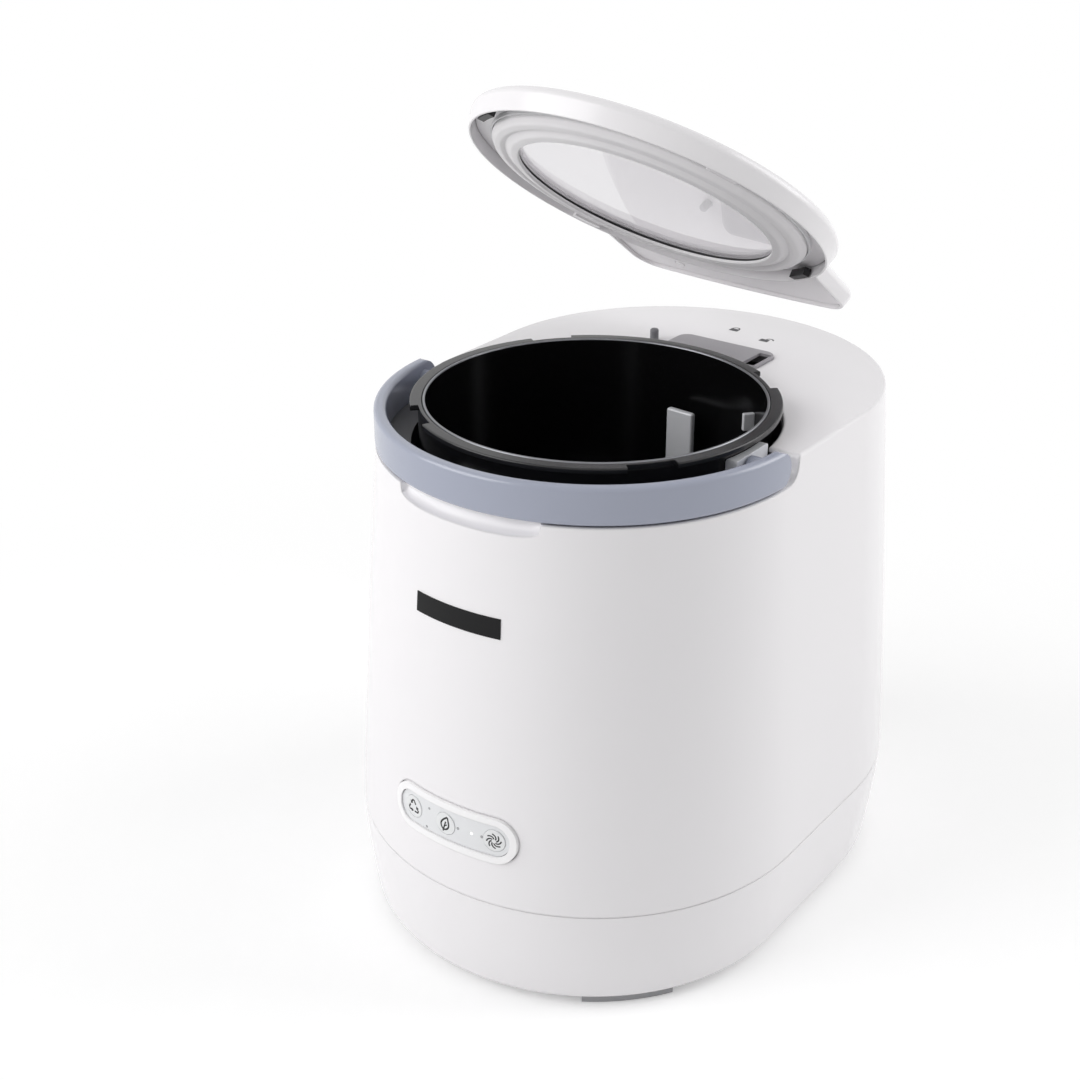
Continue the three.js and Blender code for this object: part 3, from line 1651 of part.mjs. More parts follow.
// Inlet socket: flanged body with a deep recess and three flat pins
function inletSocket() {
  const back = socketBack - socketLength;
  const face = socketBack + socketFlangeThickness;
  const pins = socketPins.map(([column, row]) => {
    const x = column * socketPinPitch;
    const z = socketHeight + row * socketPinRise;
    return box(
      x - socketPinThickness / 2,
      x + socketPinThickness / 2,
      socketBack - socketRecessDepth - over,
      socketBack - socketRecessDepth + socketPinReach,
      z - socketPinWidth / 2,
      z + socketPinWidth / 2,
    );
  });
  const shell = cut(
    join(socketBlock(0, back, socketBack + seat), socketBlock(socketFlange, socketBack, face)),
    socketBlock(-socketWall, socketBack - socketRecessDepth, face + over),
  );
  return join(shell, ...pins);
}

// Assembly: fixed pieces, then one group for each thing that moves
const group = new THREE.Group();
group.name = 'food_waste_composter';

addPiece(group, 'main_housing', mainHousing(), whiteGloss);
addPiece(group, 'base_pan', basePan(), whiteGloss);
footAngles.forEach((angle, i) => {
  const centre = Math.cos(angle * degree) > 0 ? bucketY : rearY;
  const foot = sector(
    footInner,
    footOuter,
    angle - footHalfAngle,
    angle + footHalfAngle,
    0,
    footHeight - seat,
  );
  addPiece(group, `foot_${i + 1}`, foot.translate(0, centre, 0), rubberGrey);
});

addPiece(group, 'chamber_liner', chamberLiner(), midGrey);
addPiece(group, 'heater_plate', heaterPlate().translate(0, bucketY, 0), aluminium);
addPiece(group, 'heater_element', heaterElement().translate(0, bucketY, 0), steel);

addPiece(group, 'gearbox_base', gearboxBase(), darkGrey);
addPiece(group, 'gearbox_top', gearboxTop(), darkGrey);
const lowerBearing = bearing(basePlateHeight + plateThickness);
const upperBearing = bearing(topPlateHeight + plateThickness);
addPiece(group, 'lower_bearing', lowerBearing.translate(0, bucketY, 0), bronze);
addPiece(group, 'upper_bearing', upperBearing.translate(0, bucketY, 0), bronze);
const shaftSeal = ring(
  driveShaftRadius + seat,
  sealRadius,
  topPlateHeight + plateThickness + seat,
  topPlateHeight + plateThickness + seat + sealHeight,
  middleSteps,
);
addPiece(group, 'shaft_seal', shaftSeal.translate(0, bucketY, 0), blackPlastic);
const motorTop = basePlateHeight - seat;
const motorBody = revolve(
  [
    [0, motorTop - motorHeight],
    [motorRadius, motorTop - motorHeight],
    [motorRadius, motorTop],
    [motorShaftRadius + seat, motorTop],
    [motorShaftRadius + seat, motorTop - motorShaftGrip - seat],
    [0, motorTop - motorShaftGrip - seat],
  ],
  middleSteps,
);
addPiece(group, 'gear_motor', motorBody.translate(0, motorY, 0), steel);
const middlePin = disc(
  gearPinRadius,
  basePlateHeight,
  topPlateHeight + plateThickness,
  smallSteps,
);
addPiece(group, 'middle_pin', middlePin.translate(0, middleY, 0), steel);

addPiece(group, 'air_insert', airInsert(), midGrey);
addPiece(group, 'air_duct', airDuct(), darkGrey);
addPiece(group, 'pin_holder', pinHolder(), darkGrey);
const fanGroup = new THREE.Group();
fanGroup.position.set(fanX, fanY, 0);
group.add(fanGroup);
addPiece(fanGroup, 'fan_volute', fanVolute(), darkGrey);
addPiece(fanGroup, 'fan_motor', fanMotor(), steel);
addPiece(fanGroup, 'fan_impeller', fanImpeller(), blackPlastic);

addPiece(group, 'filter_bay', filterBay(), midGrey);
addPiece(group, 'filter_door', filterDoor(), whiteGloss);
addPiece(group, 'filter_tray', filterTray(), nylonWhite);
addPiece(group, 'carbon_filter', carbonFilter(), carbonBlack);

addPiece(group, 'sensor_pin', sensorPin(), midGrey);
addPiece(group, 'panel_bezel', panelBezel(), whiteSatin);
addPiece(group, 'panel_face', panelFace(), silverPaint);
keyAngles.forEach((angle, i) => {
  addPiece(group, `key_${i + 1}`, panelKey(angle), whiteSatin);
});
addPiece(group, 'control_board', controlBoard(), greenBoard);
addPiece(group, 'power_board', powerBoard(), greenBoard);
addPiece(group, 'inlet_socket', inletSocket(), blackPlastic);

// The gear train under the well
const driveGroup = new THREE.Group();
driveGroup.position.set(0, bucketY, 0);
group.add(driveGroup);
const driveShaftBottom = basePlateHeight + plateThickness - bearingWidth - over;
const driveShaftTop = driveDogTop - dogReach - dogGap - seat;
const driveShaft = disc(driveShaftRadius, driveShaftBottom, driveShaftTop, smallSteps);
addPiece(driveGroup, 'drive_shaft', driveShaft, steel);
const webBottom = driveGearHeight + driveGearFace - webDepth;
const webCut = ring(webInner, webOuter, webBottom, webBottom + webDepth + over, middleSteps);
const driveGearTop = driveGearHeight + driveGearFace;
const driveBore = driveShaftRadius + seat;
const driveGear = cut(
  gear(slowModule, driveTeeth, rearward, driveBore, driveGearHeight, driveGearTop),
  webCut,
);
addPiece(driveGroup, 'drive_gear', driveGear, nylonWhite);
const driveDogPlateTop = drivenDogPlate - dogReach - dogGap;
const driveDog = jawHalf(
  linerFloorHeight - seat,
  driveDogPlateTop,
  driveDogPlateTop - seat,
  driveDogTop,
  halfDegrees / dogCount,
  driveShaftRadius + seat,
  linerFloorHeight - over,
  driveShaftTop + seat,
);
addPiece(driveGroup, 'drive_dog', driveDog, steel);

const middleGroup = new THREE.Group();
middleGroup.position.set(0, middleY, 0);
group.add(middleGroup);
const middleBore = gearPinRadius + gearBoreClearance;
const middlePinion = gear(
  slowModule,
  middlePinionTeeth,
  frontward + halfDegrees / middlePinionTeeth,
  middleBore,
  driveGearHeight - seat,
  middleGearHeight + over,
);
const middleWheel = gear(
  fastModule,
  middleTeeth,
  rearward,
  middleBore,
  middleGearHeight,
  middleGearHeight + middleGearFace,
);
addPiece(middleGroup, 'middle_gear', join(middlePinion, middleWheel), nylonWhite);

const motorGroup = new THREE.Group();
motorGroup.position.set(0, motorY, 0);
group.add(motorGroup);
const motorPinion = join(
  gear(
    fastModule,
    motorPinionTeeth,
    frontward + halfDegrees / motorPinionTeeth,
    0,
    middleGearHeight - seat,
    middleGearHeight + middleGearFace + seat,
  ),
  disc(motorShaftRadius, motorTop - motorShaftGrip, middleGearHeight, smallSteps),
);
addPiece(motorGroup, 'motor_pinion', motorPinion, steel);

// The lift-out bucket with its handle and stirrer
const bucketGroup = new THREE.Group();
bucketGroup.position.set(0, bucketY, 0);
group.add(bucketGroup);
addPiece(bucketGroup, 'bucket_pot', bucketPot(), blackCoat);
addPiece(bucketGroup, 'bucket_collar', bucketCollar(), darkGrey);
addPiece(bucketGroup, 'bracket_left', bracket(-1), silverPaint);
addPiece(bucketGroup, 'bracket_right', bracket(1), silverPaint);
const bush = join(
  ring(
    shaftRadius + seat,
    shaftRadius + seat + bushWall,
    potBaseHeight,
    potBossTop + 2 * seat,
    middleSteps,
  ),
  ring(
    shaftRadius + seat,
    bushFlange,
    potBossTop + seat,
    potBossTop + seat + bushFlangeHeight,
    middleSteps,
  ),
);
addPiece(bucketGroup, 'shaft_bush', bush, bronze);
addPiece(bucketGroup, 'handle', handle(), bluishGrey);
addPiece(bucketGroup, 'stirrer_hub', stirrerHub(), silverPaint);
const shaftBottom = drivenDogPlate + seat;
const shaftTop = potBossTop + hubClearance + hubSocket - seat;
addPiece(bucketGroup, 'stirrer_shaft', disc(shaftRadius, shaftBottom, shaftTop, smallSteps), steel);
const drivenDog = jawHalf(
  drivenDogPlate,
  drivenDogTop,
  drivenDogPlate - dogReach,
  drivenDogPlate + seat,
  0,
  shaftRadius + seat,
  drivenDogPlate,
  drivenDogTop + over,
);
addPiece(bucketGroup, 'driven_dog', drivenDog, steel);

// The lid, raised; it turns about a slightly slanted line behind and below the bucket's rim
const lidPivot = new THREE.Group();
lidPivot.position.set(0, lidHingeY, rimHeight - lidHingeDrop);
const lidAxis = new THREE.Vector3(...lidAxisShares).normalize();
lidPivot.quaternion.setFromAxisAngle(lidAxis, lidTilt * degree);
bucketGroup.add(lidPivot);
const lidGroup = new THREE.Group();
lidGroup.position.set(0, -lidHingeY, lidHingeDrop - lidOverlap);
lidPivot.add(lidGroup);
addPiece(lidGroup, 'lid_shell', lidShell(), whiteGloss);
addPiece(lidGroup, 'lid_panel', lidPanel(), whiteSatin);
addPiece(lidGroup, 'lid_tail_cover', tailCover(), whiteSatin);
const gasket = ring(gasketInner, gasketOuter, gasketBottom, gasketBottom + gasketThickness);
addPiece(lidGroup, 'window_gasket', gasket, blackPlastic);
const window = disc(windowRadius, windowBottom, windowTop, roundSteps);
addPiece(lidGroup, 'lid_window', window, clearGlass);
const lidSeal = ring(
  plugRadius + seat,
  plugRadius + lidSealReach,
  lidRoof - seat - lidSealHeight,
  lidRoof - seat,
  roundSteps,
);
addPiece(lidGroup, 'lid_seal', lidSeal, siliconeWhite);
clipAngles.forEach((angle, i) => {
  const clip = lidLug(angle, lidLugInner, lidSkirtInner - clipGap, seat, seat + clipHeight);
  addPiece(lidGroup, `lid_clip_${i + 1}`, clip, blackPlastic);
});

export default group;
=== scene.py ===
import math

import bpy
import numpy as np
from mathutils import Matrix, Vector


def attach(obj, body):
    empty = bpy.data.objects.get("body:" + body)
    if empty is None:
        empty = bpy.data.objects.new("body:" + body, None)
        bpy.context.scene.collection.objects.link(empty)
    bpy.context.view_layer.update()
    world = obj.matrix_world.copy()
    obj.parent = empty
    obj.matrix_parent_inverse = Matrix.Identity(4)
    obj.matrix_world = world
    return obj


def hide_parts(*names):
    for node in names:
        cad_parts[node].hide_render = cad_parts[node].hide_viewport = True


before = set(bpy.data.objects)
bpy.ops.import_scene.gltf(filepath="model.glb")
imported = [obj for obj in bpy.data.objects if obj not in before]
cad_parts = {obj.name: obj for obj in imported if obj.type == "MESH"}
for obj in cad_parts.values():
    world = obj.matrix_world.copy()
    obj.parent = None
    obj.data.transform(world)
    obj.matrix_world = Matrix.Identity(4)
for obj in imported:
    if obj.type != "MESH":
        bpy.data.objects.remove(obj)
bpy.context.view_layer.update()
print("stage: frame loaded,", len(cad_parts), "nodes")

# Lengths below are in millimetres; meshes are scaled to metres when they are made.
mm = 0.001
halfPi = math.pi / 2
seat = 0.3  # gap round a piece that sits in another
over = 2.0  # how far a cutter reaches past what it cuts
beyond = 400.0  # past every side of the body
above = 330.0  # past the rim


# Shapes


def softPolygon(corners, steps=5, closed=True):
    # Each corner (a, b, radius) is replaced by a circular arc that touches both of its sides.
    points = []
    count = len(corners)
    for i, (a, b, radius) in enumerate(corners):
        here = np.array([a, b], float)
        if radius <= 0 or (not closed and i in (0, count - 1)):
            points.append(tuple(here))
            continue
        before = np.array(corners[i - 1][:2], float) - here
        after = np.array(corners[(i + 1) % count][:2], float) - here
        lengths = np.linalg.norm(before), np.linalg.norm(after)
        before, after = before / lengths[0], after / lengths[1]
        half = math.acos(np.clip(before @ after, -1, 1)) / 2
        reach = min(radius / math.tan(half), 0.48 * min(lengths))
        round_ = reach * math.tan(half)
        bisector = (before + after) / np.linalg.norm(before + after)
        centre = here + bisector * round_ / math.sin(half)
        start = here + before * reach - centre
        end = here + after * reach - centre
        angle = math.atan2(start[1], start[0])
        turn = math.atan2(end[1], end[0]) - angle
        turn = (turn + math.pi) % (2 * math.pi) - math.pi
        for k in range(steps + 1):
            t = angle + turn * k / steps
            points.append((centre[0] + round_ * math.cos(t), centre[1] + round_ * math.sin(t)))
    return points


def arcPoints(x, y, radius, start, end, steps):
    # Points of a circle round (x, y) from one angle to another.
    turn = np.linspace(start, end, steps + 1)
    return [(x + radius * math.cos(t), y + radius * math.sin(t)) for t in turn]


def roundedRect(left, right, low, high, corner, steps=8):
    # A rectangle whose corners are quarter circles.
    return softPolygon(
        [(left, low, corner), (right, low, corner), (right, high, corner), (left, high, corner)],
        steps,
    )


def newObject(name, vertices, faces):
    mesh = bpy.data.meshes.new(name)
    mesh.from_pydata((np.asarray(vertices, float) * mm).tolist(), [], faces)
    mesh.update()
    obj = bpy.data.objects.new(name, mesh)
    bpy.context.scene.collection.objects.link(obj)
    return obj


def loft(name, loops, wrap=False):
    # Rows of points joined by quads; the two ends are capped, or joined to each other.
    loops = np.asarray(loops, float)
    rows, count = loops.shape[:2]
    i = np.arange(count)
    j = (i + 1) % count
    faces = []
    for row in range(rows if wrap else rows - 1):
        a, b = row * count, ((row + 1) % rows) * count
        faces += np.stack([a + i, a + j, b + j, b + i], 1).tolist()
    if not wrap:
        faces.append(i[::-1].tolist())
        faces.append((i + (rows - 1) * count).tolist())
    obj = newObject(name, loops.reshape(-1, 3), faces)
    orient(obj)
    return obj


def orient(obj):
    # Turns a closed mesh outwards by the sign of its volume.
    mesh = obj.data
    mesh.calc_loop_triangles()
    tris = np.zeros(len(mesh.loop_triangles) * 3, np.int32)
    mesh.loop_triangles.foreach_get("vertices", tris)
    points = np.zeros(len(mesh.vertices) * 3)
    mesh.vertices.foreach_get("co", points)
    a, b, c = points.reshape(-1, 3)[tris.reshape(-1, 3)].transpose(1, 0, 2)
    if np.einsum("ij,ij->", a, np.cross(b, c)) < 0:
        mesh.flip_normals()


def turned(name, profile, steps=128, closed=True, centre=(0, 0)):
    # A profile of (radius, height) turned about a vertical axis.
    angle = np.linspace(0, 2 * math.pi, steps, endpoint=False)
    profile = np.asarray(profile, float)
    loops = np.zeros((len(profile), steps, 3))
    loops[:, :, 0] = centre[0] + np.outer(profile[:, 0], np.cos(angle))
    loops[:, :, 1] = centre[1] + np.outer(profile[:, 0], np.sin(angle))
    loops[:, :, 2] = profile[:, 1][:, None]
    return loft(name, loops, wrap=closed)


def prism(name, outline, axis, low, high):
    # An outline pushed along one axis; its two numbers are the other two axes in X, Y, Z order.
    outline = np.asarray(outline, float)
    return loft(name, [np.insert(outline, "XYZ".index(axis), z, axis=1) for z in (low, high)])


def block(name, left, right, front, rear, low, high, edge=0.0):
    # A box, or with an edge one whose corners and edges follow quarter circles of that radius.
    if edge <= 0:
        outline = [(left, front), (right, front), (right, rear), (left, rear)]
        return prism(name, outline, "Z", low, high)
    rows = []
    quarter = np.linspace(0, halfPi, 4)
    for level, side, turns in ((low, 1, quarter), (high, -1, quarter[::-1])):
        for t in turns:
            inset = edge * (1 - math.sin(t))
            rect = roundedRect(left + inset, right - inset, front + inset, rear - inset, edge, 3)
            rows.append([(x, y, level + side * edge * (1 - math.cos(t))) for x, y in rect])
    return loft(name, rows)


def combine(target, tool, operation="DIFFERENCE"):
    # Cuts a closed mesh by another, joins them or keeps what they share; the tool is used up.
    modifier = target.modifiers.new("cut", "BOOLEAN")
    modifier.operation = operation
    modifier.solver = "MANIFOLD"
    modifier.object = tool
    graph = bpy.context.evaluated_depsgraph_get()
    mesh = bpy.data.meshes.new_from_object(target.evaluated_get(graph))
    target.modifiers.clear()
    old = target.data
    mesh.name = old.name
    target.data = mesh
    bpy.data.meshes.remove(old)
    bpy.data.objects.remove(tool)
    return target


def cut(target, *tools):
    for tool in tools:
        combine(target, tool)
    return target


def joined(target, *tools):
    for tool in tools:
        combine(target, tool, "UNION")
    return target


def moved(obj, matrix, name=None):
    # The matrix goes into the mesh, so that the object itself stays at the origin.
    obj.data.transform(matrix)
    obj.name = name or obj.name
    return obj


def shade(obj, angle=32):
    # Smooth faces, with every edge sharper than the angle kept.
    mesh = obj.data
    mesh.polygons.foreach_set("use_smooth", np.ones(len(mesh.polygons), bool))
    mesh.set_sharp_from_angle(angle=math.radians(angle))
    weighted = obj.modifiers.new("weighted", "WEIGHTED_NORMAL")
    weighted.keep_sharp = True


def place(obj, material, body, nodes, angle=32):
    # Paints a piece, rides it on its body and hides the CAD nodes whose place it takes.
    obj.data.materials.clear()
    obj.data.materials.append(material)
    shade(obj, angle)
    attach(obj, body)
    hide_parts(*nodes)
    return obj


# Materials


def toLinear(code):
    # sRGB hex to linear: the standard piecewise curve with exponent 2.4.
    values = [int(code[i : i + 2], 16) / 255 for i in (1, 3, 5)]
    return [v / 12.92 if v <= 0.04045 else ((v + 0.055) / 1.055) ** 2.4 for v in values] + [1.0]


def addNode(tree, kind, values=None, links=None, **props):
    node = tree.nodes.new(kind)
    for key, value in props.items():
        setattr(node, key, value)
    for key, value in (values or {}).items():
        node.inputs[key].default_value = value
    for key, socket in (links or {}).items():
        tree.links.new(socket, node.inputs[key])
    return node


def emptyTree(owner):
    owner.use_nodes = True
    owner.node_tree.nodes.clear()
    return owner.node_tree


broadGrain = 60  # mm, size of the slow drift of colour in every surface


def surface(name, color, roughness, metallic=0.0, grain=1.5, bump=0.0, vary=0.03, edge=0.5, **more):
    # grain is the size of the finest mottling in mm, vary how far colour and gloss drift, and
    # edge the radius in mm to which the shading rounds the edges.
    material = bpy.data.materials.new(name)
    tree = emptyTree(material)
    output = addNode(tree, "ShaderNodeOutputMaterial")
    shader = addNode(tree, "ShaderNodeBsdfPrincipled", {"Metallic": metallic})
    coordinates = addNode(tree, "ShaderNodeTexCoord").outputs["Object"]
    grains = {"Scale": 1 / (grain * mm), "Detail": 3.0, "Roughness": 0.6}
    fine = addNode(tree, "ShaderNodeTexNoise", grains, {"Vector": coordinates}).outputs["Fac"]
    drift = {"Scale": 1 / (broadGrain * mm), "Detail": 2.0}
    broad = addNode(tree, "ShaderNodeTexNoise", drift, {"Vector": coordinates}).outputs["Fac"]
    linear = toLinear(color)
    darker = [v * (1 - vary) for v in linear[:3]] + [1.0]
    mix = addNode(tree, "ShaderNodeMix", {6: darker, 7: linear}, {0: broad}, data_type="RGBA")
    tree.links.new(mix.outputs[2], shader.inputs["Base Color"])
    ends = {"To Min": roughness * (1 - 2 * vary), "To Max": roughness * (1 + 2 * vary)}
    gloss = addNode(tree, "ShaderNodeMapRange", ends, {"Value": fine})
    tree.links.new(gloss.outputs["Result"], shader.inputs["Roughness"])
    normal = addNode(tree, "ShaderNodeBevel", {"Radius": edge * mm}, samples=4).outputs["Normal"]
    if bump > 0:
        values, links = {"Strength": 1.0, "Distance": bump * mm}, {"Height": fine, "Normal": normal}
        normal = addNode(tree, "ShaderNodeBump", values, links).outputs["Normal"]
    tree.links.new(normal, shader.inputs["Normal"])
    for key, value in more.items():
        shader.inputs[key.replace("_", " ")].default_value = value
    tree.links.new(shader.outputs[0], output.inputs["Surface"])
    return material


# Each note says what the material gives the eye: gloss ABS, soft highlights and no grain
absWhite = surface("ABS gloss white", "#f4f2f4", 0.22, vary=0.01, bump=0.0008, grain=0.8, edge=0.7)
# The same for the housing, whose cut edges are rounder
absHousing = surface(
    "ABS gloss white, soft edges", "#f4f2f4", 0.22, vary=0.01, bump=0.0008, grain=0.8, edge=2.0
)
# Satin ABS: broader highlights, a trace of mould texture
absSatin = surface("ABS satin white", "#eeecee", 0.4, vary=0.015, bump=0.002, grain=0.5)
# Dyed ABS of the handle: cool lavender grey under a high gloss that mirrors the soft boxes
absHandle = surface(
    "ABS lavender grey",
    "#a1a6b7",
    0.2,
    vary=0.02,
    bump=0.0006,
    grain=0.8,
    edge=0.9,
    Specular_IOR_Level=0.8,
)
# Moulded polypropylene in its greys: an even satin with a fine mould grain
polyGrey = surface("polypropylene mid grey", "#77777b", 0.5, vary=0.03, bump=0.003, grain=0.5)
polyInsert = surface("polypropylene light grey", "#9f9ca1", 0.42, vary=0.03, bump=0.003, grain=0.5)
polyDark = surface("polypropylene dark grey", "#3c3c40", 0.42, vary=0.03, bump=0.003, grain=0.5)
polyBlack = surface("polypropylene black", "#151517", 0.45, vary=0.03, bump=0.003, grain=0.5)
# Collar flange: black gloss, so that only the flat top picks up the light room
glossBlack = surface("polypropylene gloss black", "#111113", 0.26, vary=0.03, grain=0.6, edge=0.6)
# Non-stick coat: nearly black, a fine orange peel and a low clear sheen
nonStick = surface(
    "non-stick coating",
    "#0a0a0b",
    0.2,
    grain=0.7,
    bump=0.003,
    vary=0.05,
    edge=0.5,
    Specular_IOR_Level=0.3,
)
# Bare aluminium rim of the pot, in a lighter metal than the coat: partly the real edge, partly a
# painted highlight that draws the thin bright line along the lip
rimHighlightMetal = surface("aluminium rim, lightened for painted highlight", "#85868a", 0.3, metallic=1.0, grain=0.4, vary=0.03)
# Painted silver plastic: a pale satin with a slight metallic lift from its flakes
silverPaint = surface("silver painted ABS", "#e2e3e7", 0.36, metallic=0.1, grain=0.25, vary=0.05)
# Metals: fine grinding marks, the dull skin of a casting, the pores of sintered bronze
steel = surface("ground steel", "#b9bbbf", 0.28, metallic=1.0, grain=0.3, vary=0.06, bump=0.001)
castAluminium = surface(
    "cast aluminium", "#c0c2c4", 0.42, metallic=1.0, grain=0.6, vary=0.08, bump=0.01
)
bronze = surface("sintered bronze", "#a9793f", 0.4, metallic=1.0, grain=0.4, vary=0.1, bump=0.006)
# Rubber and silicone: matt and soft-edged; nylon: waxy; laminate: mottled green; carbon: grains
rubberGrey = surface("TPE light grey", "#a2a2a5", 0.75, grain=0.6, bump=0.01, vary=0.04)
silicone = surface("silicone white", "#dedee0", 0.6, grain=0.8, bump=0.004, vary=0.03)
siliconeDark = surface("silicone black", "#1a1a1c", 0.6, grain=0.8, bump=0.004, vary=0.03)
nylon = surface("nylon", "#e6e2d8", 0.5, grain=0.6, bump=0.004, vary=0.04)
board = surface("FR4 laminate", "#1f5b3a", 0.4, grain=0.4, bump=0.002, vary=0.12)
carbon = surface("activated carbon", "#1d1d1d", 0.95, grain=1.6, bump=0.3, vary=0.4)
# Badge and control panel: matt film, satin film and keys, a bright bezel, ink and lenses
badgeBlack = surface(
    "ABS black film", "#08080a", 0.5, vary=0.02, grain=0.8, edge=0.3, Specular_IOR_Level=0.25
)
faceFilm = surface("satin printed film", "#e7e8ea", 0.4, vary=0.01, grain=0.4)
keyWhite = surface("satin key plastic", "#eaebec", 0.4, vary=0.01, grain=0.4)
bezelWhite = surface("ABS bright white", "#fbfafb", 0.2, vary=0.005, grain=0.8, edge=0.6)
printBlack = surface("pad-printed ink black", "#1b1b1d", 0.55, vary=0.05, grain=0.3, edge=0.05)
printGrey = surface("pad-printed ink grey", "#4a4a4d", 0.55, vary=0.05, grain=0.3, edge=0.05)
ledLens = surface("LED lens frosted", "#a9aaac", 0.35, vary=0.02, grain=0.4, edge=0.2)
# The one light that is on: the same lens with a white glow behind it
ledLit = surface(
    "LED lens lit",
    "#ffffff",
    0.35,
    vary=0.0,
    grain=0.4,
    edge=0.2,
    Emission_Color=(1, 1, 1, 1),
    Emission_Strength=0.8,
)


glassDrift = 30  # mm


def glassMaterial():
    # Clear, hardly tinted, with a polish that drifts a little over glassDrift
    material = bpy.data.materials.new("tempered glass")
    tree = emptyTree(material)
    output = addNode(tree, "ShaderNodeOutputMaterial")
    coordinates = addNode(tree, "ShaderNodeTexCoord").outputs["Object"]
    drift = {"Scale": 1 / (glassDrift * mm), "Detail": 1.0}
    fine = addNode(tree, "ShaderNodeTexNoise", drift, {"Vector": coordinates}).outputs["Fac"]
    ends = {"To Min": 0.0, "To Max": 0.03}
    gloss = addNode(tree, "ShaderNodeMapRange", ends, {"Value": fine}).outputs["Result"]
    values = {"Base Color": toLinear("#e2e0e3"), "Transmission Weight": 1.0, "IOR": 1.5}
    shader = addNode(tree, "ShaderNodeBsdfPrincipled", values, {"Roughness": gloss})
    tree.links.new(shader.outputs[0], output.inputs["Surface"])
    return material


glass = glassMaterial()
print("stage: materials made")

# The body: plan of two half circles joined by straight sides

body = {
    "rim": 312.0,
    "spacing": 83.4,
    "topRadius": 118.6,
    "widestRadius": 134.8,
    "baseRadius": 128.0,
    "deck": 302.0,
    "seam": 66.0,
    "seamGap": 0.3,
    "seamEdge": 0.12,
    "seamLip": 0.35,
    "foot": 5.0,
    "wall": 3.0,
    "deckPlate": 3.0,
    "deckEdge": 1.6,
    "panEdge": 5.0,
    "upperPower": 1.17,
    "lowerPower": 1.45,
}
bucketY = -body["spacing"] / 2
rearY = body["spacing"] / 2
seamTop = body["seam"] + body["seamGap"] / 2
seamBottom = body["seam"] - body["seamGap"] / 2
seamSlit = 0.06
deckUnder = body["deck"] - body["deckPlate"]


def bodyRadius(height):
    # Above the seam the radius shrinks with a power of the rise towards the deck; below it,
    # with another power of the fall towards the feet.
    height = np.asarray(height, float)
    rise = np.clip((height - body["seam"]) / (body["deck"] - body["seam"]), 0, None)
    fall = np.clip((body["seam"] - height) / (body["seam"] - body["foot"]), 0, 1)
    widest = body["widestRadius"]
    upper = widest - (widest - body["topRadius"]) * rise ** body["upperPower"]
    lower = widest - (widest - body["baseRadius"]) * fall ** body["lowerPower"]
    return np.where(height > body["seam"], upper, lower)


def bodyLoop(height, inset=0.0, steps=80):
    # Two half circles of the body's radius at that height, with straight sides between.
    radius = float(bodyRadius(height)) - inset
    turn = np.linspace(0, math.pi, steps + 1)
    loop = np.zeros((2 * (steps + 1), 3))
    loop[: steps + 1, 0] = radius * np.cos(turn)
    loop[: steps + 1, 1] = rearY + radius * np.sin(turn)
    loop[steps + 1 :, 0] = -radius * np.cos(turn)
    loop[steps + 1 :, 1] = bucketY - radius * np.sin(turn)
    loop[:, 2] = height
    return loop


def bodyBlock(name, inset, low=seamTop, high=body["deck"], rows=40):
    # The body's own shape between two heights, further in by the inset.
    return loft(name, [bodyLoop(z, inset) for z in np.linspace(low, high, rows)])


handleSpec = {
    "radius": 120.0,
    "thickness": 6.8,
    "drop": 2.3,
    "band": 20.7,
    "seat": 0.9,
    "setback": 9.0,
    "pin": 2.9,
    "boss": 5.4,
    "pinInner": 97.2,
    "gap": 1.2,
    "edge": 2.4,
}
handleTop = body["rim"] - handleSpec["drop"]
handleBottom = handleTop - handleSpec["band"]
handleMiddle = (handleTop + handleBottom) / 2
frontRim = handleBottom - handleSpec["seat"]

notch = {"reach": 12.0, "fillet": 11.5, "edge": 3.0}
notchY = bucketY + notch["reach"]
ribFront = notchY - notch["fillet"] - body["wall"]
ribUnder = frontRim - body["wall"]

well = {"radius": 100.5, "wall": 2.0, "hole": 101.0}
linerOuter = well["radius"] + well["wall"]

insertSpec = {
    "left": -29.0,
    "right": 36.0,
    "front": 106.0,
    "rear": 137.0,
    "corner": 7.0,
    "rise": 2.0,
    "skirt": 3.0,
    "wall": 2.0,
    "slotInset": 1.2,
    "slotWidth": 8.0,
    "slotFront": 4.0,
    "slotRear": 5.5,
    "slotCorner": 1.0,
    "edge": 0.8,
}
pinSpec = {
    "x": -39.0,
    "y": 119.0,
    "radius": 2.6,
    "rise": 7.2,
    "flange": 4.4,
    "flangeWall": 1.6,
    "length": 17.0,
}
panelSpec = {
    "height": 106.8,
    "halfLength": 41.3,
    "halfHeight": 13.6,
    "bezel": 4.0,
    "proud": 1.6,
    "lip": 1.5,
    "faceProud": 0.5,
    "keyRadius": 6.5,
    "keyGap": 0.12,
    "keyProud": 0.3,
    "keyDome": 0.2,
    "keyEdge": 0.3,
    "keyFlange": 1.3,
    "keySeat": 1.4,
    "keyStem": 2,
    "keyLength": 12.1,
    "flangeWall": 1.2,
}
keyAngles = (-11.5, -1.1, 12.2)
door = {"half": 52.0, "low": 145.0, "high": 227.0, "corner": 8.0, "gap": 0.6}


def notchCutter():
    # Side outline: flat floor, concave corner, wall and convex corner into the deck.
    hollow, edge = notch["fillet"], notch["edge"]
    outline = [(-beyond, frontRim)]
    outline += arcPoints(notchY - hollow, frontRim + hollow, hollow, -halfPi, 0, 13)
    outline += arcPoints(notchY + edge, body["deck"] - edge, edge, math.pi, halfPi, 9)
    outline += [(notchY + edge, body["deck"] + over), (-beyond, body["deck"] + over)]
    return prism("notch", outline, "X", -beyond, beyond)


scoop = {
    "half": 22.0,
    "depth": 6.5,
    "height": 8.0,
    "wall": 2.6,
    "wallAngle": 1.5,
    "least": 0.05,
    "wallLow": 240.0,
}


